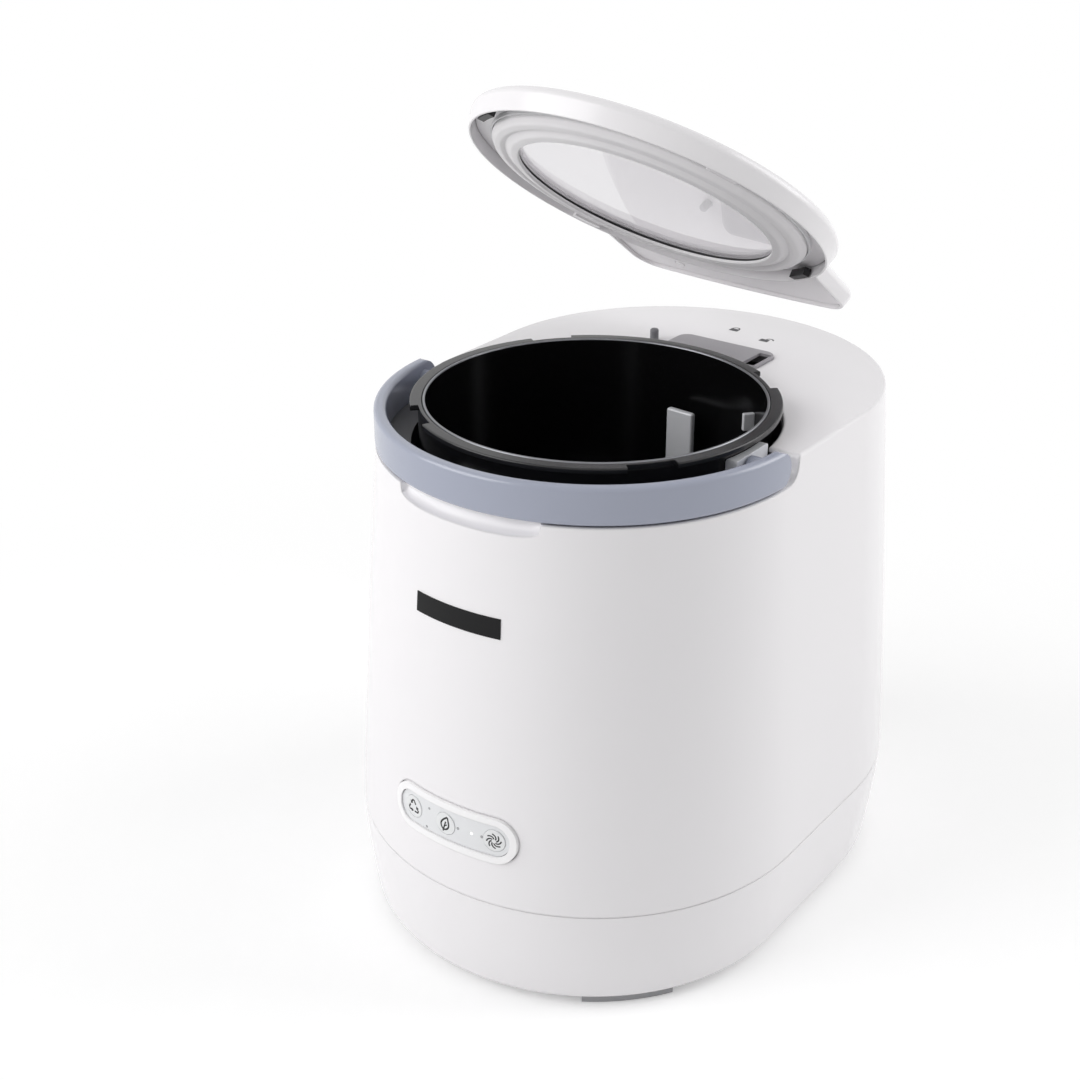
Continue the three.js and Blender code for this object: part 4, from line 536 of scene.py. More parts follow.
def scoopLens(extra=0.0, extraAngle=0.0, steps=64):
    # An ellipse carried round the front rim, swelling with the fourth root of one minus the
    # fourth power of the way from its middle to its ends.
    radius = float(bodyRadius(frontRim))
    around = np.linspace(0, 2 * math.pi, 40, endpoint=False)
    rows = []
    for share in np.linspace(-1, 1, steps + 1):
        swell = max(scoop["least"], max(0.0, 1 - share**4) ** 0.25)
        angle = math.radians(share * (scoop["half"] + extraAngle))
        reach = radius + (scoop["depth"] + extra) * swell * np.cos(around)
        lift = (scoop["height"] + extra) * swell * np.sin(around)
        x, y = reach * math.sin(angle), bucketY - reach * math.cos(angle)
        rows.append(np.stack([x, y, frontRim + lift], 1))
    return loft("scoop", rows)


def pillPrism(inset):
    # The panel's outline with round ends, from far in front to the bucket's axis.
    high = panelSpec["halfHeight"] - inset
    half = panelSpec["halfLength"] - inset
    z = panelSpec["height"]
    outline = roundedRect(-half, half, z - high, z + high, high * 0.999, 20)
    return prism("pill", outline, "Y", -beyond, bucketY)


def doorPrism(inset):
    # The rear door's outline, a rectangle with round corners.
    half = door["half"] - inset
    low, high = door["low"] + inset, door["high"] - inset
    outline = roundedRect(-half, half, low, high, door["corner"] - inset)
    return prism("door", outline, "Y", rearY, beyond)


def insertOutline(inset):
    # The insert's plan, a rectangle with round corners.
    s = insertSpec
    return roundedRect(
        s["left"] + inset,
        s["right"] - inset,
        bucketY + s["front"] + inset,
        bucketY + s["rear"] - inset,
        s["corner"] - inset,
    )


def bucketTurned(name, radius, low, high):
    # A plain round plug or cutter on the bucket's axis.
    return turned(name, [(radius, low), (radius, high)], 200, False, (0, bucketY))


# Recesses for the handle's bosses, and the softened edge of the well
pocket = {"near": 96.2, "far": 102.6, "front": 23.0, "rear": 13.0}
wellEdge = 0.8


def buildHousing():
    # Body loops up to the deck's quarter-circle edge, less cavity, notch, scoop, well and holes.
    edge = body["deckEdge"]
    soft = body["seamEdge"]
    rows = [bodyLoop(seamTop, soft), bodyLoop(seamTop + soft)]
    rows += [bodyLoop(z) for z in np.linspace(seamTop + 6, body["deck"] - edge, 40)]
    for t in np.linspace(0, halfPi, 7)[1:]:
        rows.append(bodyLoop(body["deck"] - edge + edge * math.sin(t), edge * (1 - math.cos(t))))
    shell = loft("housing", rows)
    cavity = bodyBlock("cavity", body["wall"], seamTop - over, deckUnder)
    cut(cavity, block("rib", -beyond, beyond, ribFront, notchY + body["wall"], ribUnder, beyond))
    cut(shell, cavity)
    boss = scoopLens(scoop["wall"], scoop["wallAngle"])
    inside = bodyBlock("inside", body["wall"] / 2, scoop["wallLow"], body["deck"])
    combine(boss, inside, "INTERSECT")
    joined(shell, boss)
    hole, deck = well["hole"], body["deck"]
    profile = [
        (hole, frontRim - 1),
        (hole, deck - wellEdge),
        (hole + wellEdge, deck),
        (hole + wellEdge, deck + over),
    ]
    wellTop = turned("wellTop", profile, 200, False, (0, bucketY))
    wellUnder = bucketTurned("wellUnder", linerOuter + seat, ribUnder - over, deckUnder)
    cut(shell, notchCutter(), scoopLens(), wellTop, wellUnder)
    front, rear = bucketY - pocket["front"], bucketY + pocket["rear"]
    for side in (-1, 1):
        near, far = sorted((side * pocket["near"], side * pocket["far"]))
        cut(shell, block("pocket", near, far, front, rear, frontRim, above))
    radius, centre = pinSpec["radius"] + seat, (pinSpec["x"], bucketY + pinSpec["y"])
    pinHole = turned("pinHole", [(radius, deckUnder - over), (radius, above)], 48, False, centre)
    insertHole = prism("insertHole", insertOutline(-seat), "Z", deckUnder - over, above)
    cut(shell, insertHole, pinHole, pillPrism(-seat), doorPrism(-door["gap"]))
    return place(shell, absHousing, "base", ["main_housing"], 28)


buildHousing()
print("stage: housing made")

# Base: pan with a tongue that centres the housing, vents in its floor, inlet socket and feet

tongueSpec = {"reach": 6.0, "root": 1.0, "inner": 5.3}
vent = {"count": 5, "pitch": 11.0, "near": 40, "far": 84, "width": 3, "corner": 1.49}


def buildPan():
    # Body loops from a quarter-circle bottom edge up to the seam, less the same further in.
    soft = body["seamEdge"]

    def rows(inset, floor, top, edge):
        loops = []
        for t in np.linspace(0, halfPi, 7)[:-1]:
            height = floor + edge * (1 - math.cos(t))
            loops.append(bodyLoop(height, inset + edge * (1 - math.sin(t))))
        return loops + [bodyLoop(z, inset) for z in np.linspace(floor + edge, top - soft, 20)]

    outer = rows(0, body["foot"], seamBottom, body["panEdge"]) + [bodyLoop(seamBottom, soft)]
    pan = loft("pan", outer)
    wall, lip, reach = body["wall"], body["seamLip"], tongueSpec["reach"]
    inner = rows(wall, body["foot"] + wall, body["seam"] + over, body["panEdge"] - wall)
    cut(pan, loft("panInside", inner))
    tongue = loft(
        "tongue",
        [
            bodyLoop(seamBottom - reach, wall / 2),
            bodyLoop(seamBottom - tongueSpec["root"], lip),
            bodyLoop(seamTop - seamSlit, lip),
            bodyLoop(seamTop - seamSlit, wall + seat),
            bodyLoop(seamTop + reach, wall + seat),
        ],
    )
    ends = seamBottom - reach - over, seamTop + reach + over
    cut(tongue, loft("tongueInside", [bodyLoop(z, tongueSpec["inner"]) for z in ends]))
    joined(pan, tongue)
    for extra, near in ((seat, rearY), (socket["flange"] + seat, socketBack - seat)):
        cut(pan, socketPrism(extra, near, beyond))
    for i in range(vent["count"]):
        y = (i - (vent["count"] - 1) / 2) * vent["pitch"]
        slot = roundedRect(vent["near"], vent["far"], y, y + vent["width"], vent["corner"], 6)
        cut(pan, prism("vent", slot, "Z", 0, 10))
    return place(pan, absWhite, "base", ["base_pan"], 28)


socket = {
    "half": 15.0,
    "high": 11.5,
    "z": 38.0,
    "corner": 3.0,
    "flange": 2.2,
    "proud": 1.8,
    "depth": 24,
    "wall": 3,
    "recess": 17,
    "pinAcross": 7.0,
    "pinUp": 3.0,
}
socketBack = rearY + float(bodyRadius(socket["z"])) + seat


def socketPrism(extra, near, far):
    # The socket's outline, grown by extra all round.
    outline = roundedRect(
        -socket["half"] - extra,
        socket["half"] + extra,
        socket["z"] - socket["high"] - extra,
        socket["z"] + socket["high"] + extra,
        max(socket["corner"] + extra, 0.5),
        6,
    )
    return prism("socketCut", outline, "Y", near, far)


def buildSocket():
    # A tube with a flange, three flat pins inside.
    shell = socketPrism(0, socketBack - socket["depth"], socketBack + seat)
    joined(shell, socketPrism(socket["flange"], socketBack, socketBack + socket["proud"]))
    cut(shell, socketPrism(-socket["wall"], socketBack - socket["recess"], socketBack + 8))
    shell.name = "inletSocket"
    place(shell, polyBlack, "base", ["inlet_socket"])
    near, far = socketBack - socket["recess"] - 1, socketBack - 8
    for i, (column, row) in enumerate(((-1, -1), (0, 1), (1, -1))):
        x, z = column * socket["pinAcross"], socket["z"] + row * socket["pinUp"]
        pin = block(f"inletPin{i + 1}", x - 1, x + 1, near, far, z - 2, z + 2, 0.4)
        place(pin, steel, "base", ["inlet_socket"])


feet = {"angles": (45, 135, 225, 315), "half": 12, "inner": 104, "outer": 124, "top": 4.7}


def buildFeet():
    # Arc-shaped pads: a rounded cross-section carried round the centre of each body end.
    inner, outer, top = feet["inner"], feet["outer"], feet["top"]
    profile = softPolygon([(inner, 0, 1), (outer, 0, 1), (outer, top, 0.3), (inner, top, 0.3)], 3)
    for i, angle in enumerate(feet["angles"]):
        centre = bucketY if math.cos(math.radians(angle)) > 0 else rearY
        turn = np.radians(np.linspace(angle - feet["half"], angle + feet["half"], 24))
        rows = [[(r * math.sin(t), centre - r * math.cos(t), z) for r, z in profile] for t in turn]
        foot = loft(f"foot{i + 1}", rows)
        place(foot, rubberGrey, "base", [f"foot_{i + 1}"])


buildPan()
buildSocket()
buildFeet()
print("stage: base made")

# Well: the cup that the bucket stands in

liner = {
    "floor": 140.0,
    "hole": 24,
    "ribInner": 80,
    "ribOuter": 84,
    "ribTop": 147.7,
    "ledge": 2.4,
    "ledgeLow": 270,
}


def buildLiner():
    # A cup with a round rib that carries the heater, and the ledge in front under the handle.
    floor, inside, radius = liner["floor"], liner["floor"] + well["wall"], well["radius"]
    profile = [
        (liner["hole"], floor, 0),
        (linerOuter, floor, 2),
        (linerOuter, deckUnder - seat, 0),
        (radius, deckUnder - seat, 0.5),
        (radius, inside, 3),
        (liner["ribOuter"], inside, 0),
        (liner["ribOuter"], liner["ribTop"], 0.5),
        (liner["ribInner"], liner["ribTop"], 0.5),
        (liner["ribInner"], inside, 0),
        (liner["hole"], inside, 0),
    ]
    cup = turned("wellLiner", softPolygon(profile, 4), 200, centre=(0, bucketY))
    front, rear = ribFront - seat, notchY + body["wall"] + seat
    top = frontRim - seat
    cut(
        cup,
        block("ribGap", -beyond, beyond, front, rear, ribUnder - seat, beyond),
        block("frontGap", -beyond, beyond, -beyond, front + over, top, beyond),
    )
    ledge = bodyBlock("ledge", body["wall"] + seat, liner["ledgeLow"], body["deck"])
    level = block("slice", -beyond, beyond, -beyond, front, top - liner["ledge"], top)
    combine(ledge, level, "INTERSECT")
    hole = bucketTurned("ledgeHole", radius + 1, liner["ledgeLow"] - 10, body["rim"] + 8)
    cut(ledge, hole, scoopLens(scoop["wall"] + seat, 2 * scoop["wallAngle"]))
    joined(cup, ledge)
    return place(cup, polyGrey, "base", ["chamber_liner"])


buildLiner()

# Heater plate, seen when the bucket is lifted out
plate = {"inner": 20.5, "outer": 86, "low": 148, "top": 153.3}
profile = [
    (plate["inner"], plate["low"], 0.4),
    (plate["outer"], plate["low"], 0.4),
    (plate["outer"], plate["top"], 1),
    (plate["inner"], plate["top"], 0.8),
]
heaterPlate = turned("heaterPlate", softPolygon(profile, 4), 160, centre=(0, bucketY))
place(heaterPlate, castAluminium, "base", ["heater_plate"])
print("stage: well made")

# Bucket: pot, collar, brackets, handle

pot = {
    "radius": 92.2,
    "wall": 1.6,
    "base": 153.6,
    "floor": 3.0,
    "taper": 3.6,
    "cornerWidth": 8.0,
    "cornerHeight": 10.0,
    "boss": 16.0,
    "bossTaper": 3.0,
    "bossRise": 20.0,
    "bossEdge": 0.5,
    "bore": 9.0,
}
wallBlade = {"angles": (140, -40), "half": 1.5, "near": 0.4, "far": 7, "low": 29, "high": 19}
potOuter = pot["radius"] + pot["wall"]
potInside = pot["base"] + pot["floor"]
bossTop = potInside + pot["bossRise"]


def cornerCurve(radius, base):
    # A quarter of an ellipse from the flat base to the wall.
    width, height = pot["cornerWidth"], pot["cornerHeight"]
    return [
        (radius - width * (1 - math.sin(t)), base + height * (1 - math.cos(t)))
        for t in np.linspace(0, halfPi, 9)
    ]


def buildPot():
    # Inside a hollow boss rises round the shaft; its foot runs out in a short slope.
    rim, edge = body["rim"], pot["bossEdge"]
    lip = pot["wall"] / 2
    foot = pot["boss"] + pot["bossTaper"]
    profile = [(pot["bore"], pot["base"])]
    profile += cornerCurve(potOuter - pot["taper"], pot["base"])
    profile += [(potOuter, rim - lip), (pot["radius"], rim - lip)]
    profile += cornerCurve(pot["radius"] - pot["taper"], potInside)[::-1]
    profile += [
        (foot + 2, potInside),
        (foot + 0.4, potInside + 1.2),
        (pot["boss"], bossTop - edge),
        (pot["boss"] - edge, bossTop),
        (pot["bore"], bossTop),
    ]
    cup = turned("pot", profile, 220, centre=(0, bucketY))
    place(cup, nonStick, "bucket", ["bucket_pot"])
    # Half a circle on top of the wall, in the lighter rim metal that paints the lip's highlight
    # line
    profile = arcPoints(pot["radius"] + lip, rim - lip, lip, 0, math.pi, 8)
    ring = turned("potRim", profile, 220, centre=(0, bucketY))
    place(ring, rimHighlightMetal, "bucket", ["bucket_pot"])
    b = wallBlade
    for i, angle in enumerate(b["angles"]):
        near, far = -pot["radius"] + b["near"], -pot["radius"] + b["far"]
        low, high = rim - b["low"], rim - b["high"]
        blade = block(f"potBlade{i + 1}", -b["half"], b["half"], near, far, low, high, 0.5)
        moved(blade, aroundBucket(angle))
        place(blade, silverPaint, "bucket", ["bucket_pot"])


def aroundBucket(angle):
    # Turns from the front towards +X about the bucket's axis, then moves there.
    return Matrix.Translation((0, bucketY * mm, 0)) @ Matrix.Rotation(math.radians(angle), 4, "Z")


def sectorPrism(inner, outer, start, end, low, high, steps=24):
    # A piece of a ring; angles in degrees from the front towards +X, about the bucket's axis.
    turn = np.radians(np.linspace(start, end, steps + 1))
    outline = [(outer * math.sin(t), -outer * math.cos(t)) for t in turn]
    outline += [(inner * math.sin(t), -inner * math.cos(t)) for t in turn[::-1]]
    return prism("sector", outline, "Z", low, high)


collarSpec = {
    "inner": 94.1,
    "outer": 96.2,
    "top": 311.7,
    "height": 21.7,
    "flange": 3.0,
    "flangeRadius": 100.7,
    "angles": (-130, -37, 51, 140.5),
    "halves": (7, 8, 7.5, 7.7),
    "past": 104,
}


def buildCollar():
    # A thin band under a flange, which is cut by four notches for the lid.
    c = collarSpec
    low, step = c["top"] - c["height"], c["top"] - c["flange"]
    profile = [
        (c["inner"], low, 0.4),
        (c["outer"], low, 0.4),
        (c["outer"], step, 0),
        (c["inner"], step, 0),
    ]
    band = turned("collarBand", softPolygon(profile, 3), 220, centre=(0, bucketY))
    place(band, nonStick, "bucket", ["bucket_collar"])
    profile = [
        (c["inner"], step, 0),
        (c["flangeRadius"], step, 0.5),
        (c["flangeRadius"], c["top"], 0.8),
        (c["inner"], c["top"], 0.5),
    ]
    collar = turned("collar", softPolygon(profile, 3), 220)
    for angle, half in zip(c["angles"], c["halves"]):
        start, end = angle - half, angle + half
        gap = sectorPrism(c["outer"], c["past"], start, end, step - over, c["top"] + over)
        cut(collar, gap)
    moved(collar, Matrix.Translation((0, bucketY * mm, 0)))
    return place(collar, glossBlack, "bucket", ["bucket_collar"])


bracketSpec = {"face": 100.6, "front": 21.0, "rear": 11.0, "drop": 7.2, "chamfer": 6.0}


def buildBracket(side):
    # A plate with cut lower corners, hollowed round the collar and bored for the pivot.
    s = bracketSpec
    top = body["rim"] - s["drop"]
    low = frontRim + handleSpec["seat"]
    outline = softPolygon(
        [
            (bucketY - s["front"] + s["chamfer"], low, 2),
            (bucketY + s["rear"] - s["chamfer"], low, 2),
            (bucketY + s["rear"], low + s["chamfer"], 2),
            (bucketY + s["rear"], top, 1.2),
            (bucketY - s["front"], top, 1.2),
            (bucketY - s["front"], low + s["chamfer"], 2),
        ],
        4,
    )
    near, far = sorted((side * pot["radius"], side * s["face"]))
    plate = prism("bracket" + ("Right" if side > 0 else "Left"), outline, "X", near, far)
    radius = collarSpec["outer"] + seat
    hollow = turned("hollow", [(radius, 270), (radius, above)], 220, False)
    moved(hollow, Matrix.Translation((0, bucketY * mm, 0)))
    pin, start = handleSpec["pin"] + seat, handleSpec["pinInner"] - seat
    cut(plate, hollow, rodX(side, pin, start, collarSpec["past"]))
    name = "bracket_right" if side > 0 else "bracket_left"
    return place(plate, silverPaint, "bucket", [name])


def rodX(side, radius, near, far):
    # A rod along X on the handle's axis, on one side.
    turn = np.linspace(0, 2 * math.pi, 48, endpoint=False)
    y = bucketY - handleSpec["setback"] + radius * np.cos(turn)
    z = handleMiddle + radius * np.sin(turn)
    return loft("rod", [np.stack([np.full(48, side * x), y, z], 1) for x in (near, far)])


def buildHandle():
    # A ring of rounded section, cut to half by its side outline, with bosses and pins inside.
    h = handleSpec
    inner = h["radius"] - h["thickness"]
    profile = roundedRect(inner, h["radius"], handleBottom, handleTop, h["edge"], 6)
    band = turned("handle", profile, 240, centre=(0, bucketY))
    pivotY = bucketY - h["setback"]
    # The side outline is straight, with a round end about the pivot
    outline = [(-beyond, handleBottom - 1)]
    outline += [(pivotY, handleBottom - 1), (pivotY, handleBottom)]
    outline += arcPoints(pivotY, handleMiddle, h["band"] / 2, -halfPi, halfPi, 39)
    outline += [(pivotY, handleTop + 1), (-beyond, handleTop + 1)]
    outline = [p for i, p in enumerate(outline) if i == 0 or p != outline[i - 1]]
    combine(band, prism("handleSide", outline, "X", -beyond, beyond), "INTERSECT")
    for side in (-1, 1):
        knob = bracketSpec["face"] + h["gap"]
        joined(band, rodX(side, h["boss"], knob, inner + over))
        joined(band, rodX(side, h["pin"], h["pinInner"], knob + 1))
    return place(band, absHandle, "handle", ["handle"])


buildPot()
buildCollar()
buildBracket(-1)
buildBracket(1)
buildHandle()
print("stage: bucket made")

# Stirrer: hub, two tall arms, two slanted low blades

stir = {
    "bottom": potInside + 2.4,
    "inner": 21.2,
    "upper": 18.2,
    "wall": 2.5,
    "top": 199.0,
    "nose": 8.0,
    "reach": 82.0,
    "armThickness": 4.0,
    "armWidth": 18.0,
    "armDrop": 33.0,
    "bar": 6.0,
    "barHeight": 9.0,
    "blade": 3.0,
    "bladeHeight": 27.0,
    "lean": 25.0,
    "shoulder": bossTop + 2.2,
    "roof": 1.5,
    "bore": 5.8,
    "boreTop": 15,
    "armAngles": (176, -4),
    "bladeAngles": (86, -94),
}


def buildStirrer():
    # A hollow hub with a rounded nose; arms and blades start just inside its outer face.
    s = stir
    low, top, nose = s["bottom"], s["top"], s["nose"]
    outer, shoulder = s["upper"] + s["wall"], s["shoulder"]
    profile = [
        (s["inner"], low, 0.4),
        (s["inner"] + s["wall"], low, 0.8),
        (outer, shoulder, 2),
        (outer - nose / 2, top - nose / 2, 3),
        (nose, top, 2),
        (0.01, top, 0),
        (0.01, shoulder + s["boreTop"], 0),
        (s["bore"], shoulder + s["boreTop"], 0),
        (s["bore"], shoulder + s["roof"], 0),
        (s["upper"], shoulder + s["roof"], 0.5),
    ]
    hub = turned("stirrerHub", softPolygon(profile, 5), 96)
    half, bar, blade = s["armWidth"] / 2, s["bar"] / 2, s["blade"] / 2
    near, start = s["reach"] - s["armThickness"], -s["inner"] - 1
    for angle in s["armAngles"]:
        arm = block("arm", -half, half, -s["reach"], -near, low, body["rim"] - s["armDrop"], 1.2)
        joined(arm, block("bar", -bar, bar, -near - 1, start, low, low + s["barHeight"], 1.0))
        joined(hub, moved(arm, Matrix.Rotation(math.radians(angle), 4, "Z")))
    lean = math.radians(s["lean"])
    lift = Matrix.Translation((0, 0, (low + blade * math.sin(lean)) * mm))
    for angle in s["bladeAngles"]:
        plate = block("blade", -blade, blade, -s["reach"], start, 0, s["bladeHeight"], 0.8)
        turn = Matrix.Rotation(math.radians(angle), 4, "Z")
        joined(hub, moved(plate, turn @ lift @ Matrix.Rotation(lean, 4, "Y")))
    moved(hub, Matrix.Translation((0, bucketY * mm, 0)))
    return place(hub, silverPaint, "stirrer", ["stirrer_hub"])


buildStirrer()
print("stage: stirrer made")

# Lid, built in its own frame and then raised

lid = {
    "overlap": 6.5,
    "skirtInner": 101.3,
    "skirtWall": 1.2,
    "draft": 2.5,
    "height": 13.8,
    "shoulder": 9.0,
    "plate": 2.4,
    "tilt": 35.81,
    "axis": (-1, 0.0457, -0.0215),
    "hingeY": 182.3,
    "hingeDrop": 24.8,
    "window": 78.8,
    "windowLow": 0.8,
    "windowHigh": 3.8,
    "funnelTop": 84.0,
    "funnelFoot": 77.5,
    "funnelWall": 2.2,
    "ledge": -0.9,
    "bezel": 72.5,
    "roof": 6.8,
    "plug": 90.0,
    "sealInner": 90.3,
    "sealOuter": 91.4,
    "sealHigh": 2.7,
    "lugInner": 96.7,
    "stopLow": 4.0,
    "stopRadius": 3,
    "soft": 0.3,
}
tail = {
    "half": 74.8,
    "reach": 137.0,
    "rear": 600.0,
    "corner": 18.0,
    "fillet": 14.0,
    "wall": 1.8,
    "lift": 2.3,
    "draft": 2.0,
    "sink": 2.0,
}
lidOuter = lid["skirtInner"] + lid["skirtWall"]
lidRadius = lidOuter + lid["draft"]
lidCeiling = lid["height"] - lid["plate"]
lidMatrix = (
    Matrix.Translation((0, (bucketY + lid["hingeY"]) * mm, (body["rim"] - lid["hingeDrop"]) * mm))
    @ Matrix.Rotation(math.radians(lid["tilt"]), 4, Vector(lid["axis"]).normalized())
    @ Matrix.Translation((0, -lid["hingeY"] * mm, (lid["hingeDrop"] - lid["overlap"]) * mm))
)


def lidArcs(extend=0.0):
    # Front circle, concave fillet, soft corner and flat rear arc of the right side, each with
    # its centre, radius, sign of the inset, start, end and steps.
    filletX = tail["half"] + tail["fillet"]
    filletY = math.sqrt((lidRadius + tail["fillet"]) ** 2 - filletX**2)
    cornerX = tail["half"] - tail["corner"]
    middle = tail["reach"] - tail["rear"]
    cornerY = middle + math.sqrt((tail["rear"] - tail["corner"]) ** 2 - cornerX**2)
    meet = math.atan2(filletY, filletX)
    rear = math.atan2(cornerY - middle, cornerX)
    return [
        (0, 0, lidRadius, -1, -halfPi, meet, 120),
        (filletX, filletY, tail["fillet"], 1, math.pi + meet + extend, math.pi, 14),
        (cornerX, cornerY, tail["corner"], -1, 0, rear, 16),
        (0, middle, tail["rear"], -1, rear, halfPi, 24),
    ]


def stationsOf(arcs):
    # One row per point: centre, radius, sign, angle, and how far the tail's edge has taken over
    # from the circle's, which happens smoothly along the first half of the fillet.
    def spot(row):
        return row[0] + row[2] * math.cos(row[4]), row[1] + row[2] * math.sin(row[4])

    rows = []
    for x, y, radius, sign, start, end, steps in arcs:
        for share in np.linspace(0, 1, steps + 1):
            blend = min(2 * share, 1) if sign > 0 else float(radius != lidRadius)
            angle = start + share * (end - start)
            row = (x, y, radius, sign, angle, blend**2 * (3 - 2 * blend))
            if not rows or math.dist(spot(row), spot(rows[-1])) > 1e-6:
                rows.append(row)
    mirrored = [(-r[0], r[1], r[2], r[3], math.pi - r[4], r[5]) for r in rows[::-1]]
    return np.array(rows + [row for row in mirrored if abs(spot(row)[0]) > 1e-6])


lidStations = stationsOf(lidArcs())
tailStations = stationsOf(lidArcs(math.radians(5))[1:])


def ringAt(stations, near, far=None):
    # near and far are (inset, height) on the circle and on the tail.
    x, y, radius, sign, angle, share = stations.T
    far = far or near
    reach = radius + sign * (near[0] + (far[0] - near[0]) * share)
    height = near[1] + (far[1] - near[1]) * share
    return np.stack([x + reach * np.cos(angle), y + reach * np.sin(angle), height], 1)


def lidCircle(radius, height, lift=0.0):
    # As many points as the outline, pulled straight towards the lid's axis.
    ring = ringAt(lidStations, (0, height), (0, height + lift))
    ring[:, :2] *= (radius / np.hypot(ring[:, 0], ring[:, 1]))[:, None]
    return ring


def lidPiece(obj, material, node, name=None, angle=32):
    # A piece made in the lid's own frame, tilted into place and set on the lid.
    place(moved(obj, lidMatrix, name), material, "lid", [node], angle)


lugs = {"angles": (51, -130), "half": 5, "reach": 0.6, "high": 2.5}
clips = {"angles": (-37, 140.5), "half": 5, "reach": -0.9, "high": 4.8}


def lidStub(spec, angle):
    # A short arc inside the skirt that enters one of the collar's notches.
    outer, half = lid["skirtInner"] + spec["reach"], spec["half"]
    return sectorPrism(lid["lugInner"], outer, angle - half, angle + half, 0.3, spec["high"])


def buildLidShell():
    # Rings of the outline go up the skirt, over the top, down the funnel and inside again.
    soft, edge = lid["soft"], lid["height"] - lid["shoulder"]
    lip = lid["shoulder"] - 0.6
    rows = [
        ringAt(lidStations, (lid["draft"] + soft, 0), (tail["draft"] + soft, tail["lift"])),
        ringAt(lidStations, (lid["draft"], soft), (tail["draft"], tail["lift"] + soft)),
        ringAt(lidStations, (0.05, lip)),
    ]
    for t in np.linspace(0, halfPi, 10):
        spot = edge * (1 - math.cos(t)), lid["shoulder"] + edge * math.sin(t)
        rows.append(ringAt(lidStations, spot))
    # From above: the funnel down to the window, back up to the ceiling, and the skirt
    top, foot, thick = lid["funnelTop"], lid["funnelFoot"], lid["funnelWall"]
    inner = [
        (95, lid["height"], 0),
        (top, lid["height"], 1.5),
        (foot, lid["windowHigh"] + seat, 0.2),
        (foot + thick, lid["windowHigh"] + seat, 0.2),
        (top + thick, lidCeiling, 0.5),
        (lid["skirtInner"], lidCeiling, 0.5),
        (lid["skirtInner"], 0, 0.2),
        (lidOuter - 0.7, 0, 0),
    ]
    rows += [lidCircle(r, z) for r, z in softPolygon(inner, 4, False)]
    rows.append(lidCircle(lidOuter - 0.5, 0, tail["lift"]))
    shell = loft("lidShell", rows, wrap=True)
    deep = tail["draft"] + tail["wall"]
    hollow = loft(
        "hollow",
        [
            ringAt(tailStations, (deep, tail["lift"] - over)),
            ringAt(tailStations, (deep, lid["shoulder"])),
            ringAt(tailStations, (edge + tail["wall"], lidCeiling)),
        ],
    )
    cut(hollow, turned("disc", [(lidOuter, -6), (lidOuter, 20)], 240, False))
    cut(shell, hollow)
    lidPiece(shell, absWhite, "lid_shell", angle=30)
    for i, angle in enumerate(lugs["angles"]):
        lug = lidStub(lugs, angle)
        lidPiece(lug, absWhite, "lid_shell", f"lidLug{i + 1}")
    for i, angle in enumerate(clips["angles"]):
        clip = lidStub(clips, angle)
        lidPiece(clip, polyBlack, f"lid_clip_{i + 1}", f"lidClip{i + 1}")
    low, radius = lid["stopLow"], lid["stopRadius"]
    profile = softPolygon([(0.01, low, 0), (radius, low, 0.6), (radius, lidCeiling, 0)], 3, False)
    stop = turned("lidStop", profile, 32, False, (pinSpec["x"], pinSpec["y"]))
    lidPiece(stop, absWhite, "lid_shell")


def buildLidPanel():
    roof, ledge = lid["roof"], lid["window"] + seat
    edge = lid["skirtInner"] - seat
    # From the lip outwards: swell, crease, gentle band, round edge of the plug, then back above
    profile = [
        (lid["bezel"], -2.9, 0.9),
        (77.2, -2.3, 4),
        (79.8, -0.7, 1.5),
        (81.2, 0, 0.5),
        (83.4, -1.2, 2.5),
        (87.5, -0.5, 3),
        (lid["plug"], 2.5, 2),
        (lid["plug"], roof, 0.4),
        (edge, roof, 0.3),
        (edge, roof + 2, 0.4),
        (lid["plug"] - 2, roof + 2, 0.4),
        (85.5, 2, 0.4),
        (ledge + 2, 2, 0.3),
        (ledge + 2, lid["windowHigh"], 0.3),
        (ledge, lid["windowHigh"], 0.3),
        (ledge, lid["ledge"], 0),
        (lid["bezel"], lid["ledge"], 0.4),
    ]
    panel = turned("lidPanel", softPolygon(profile, 5), 240)
    lidPiece(panel, absSatin, "lid_panel")
    low = lid["ledge"] + seat
    high = lid["windowLow"] - seat
    profile = softPolygon([(73, low, 0.4), (78, low, 0.4), (78, high, 0.3), (73, high, 0.3)], 3)
    gasket = turned("windowGasket", profile, 200)
    lidPiece(gasket, siliconeDark, "window_gasket")
    r, low, high = lid["window"], lid["windowLow"], lid["windowHigh"]
    profile = [(0.01, low, 0), (r, low, 0.5), (r, high, 0.7), (0.01, high, 0)]
    window = turned("lidWindow", softPolygon(profile, 4, False), 240, False)
    lidPiece(window, glass, "lid_window")
    inner, outer, high = lid["sealInner"], lid["sealOuter"], roof - seat
    low = high - lid["sealHigh"]
    profile = [(inner, low, 0.3), (outer, low, 0.5), (outer, high, 0.3), (inner, high, 0)]
    lidPiece(turned("lidSeal", softPolygon(profile, 3), 200), silicone, "lid_seal")


def buildTailCover():
    inset = tail["draft"] + tail["wall"] + seat
    low = tail["lift"] + tail["sink"]

    def tray(extra, bottom, top):
        outer, reach = inset + extra, lidOuter + seat + extra
        piece = loft("tray", [ringAt(tailStations, (outer, z)) for z in (bottom, top)])
        return cut(piece, turned("disc", [(reach, -over), (reach, 30)], 240, False))

    cover = tray(0, low, lid["shoulder"])
    cut(cover, tray(tail["wall"], low + tail["wall"], 20))
    radius, centre = lid["stopRadius"] + seat, (pinSpec["x"], pinSpec["y"])
    cut(cover, turned("pass", [(radius, -5), (radius, 20)], 32, False, centre))
    lidPiece(cover, absSatin, "lid_tail_cover", "lidTailCover")


buildLidShell()
buildLidPanel()
buildTailCover()
print("stage: lid made")

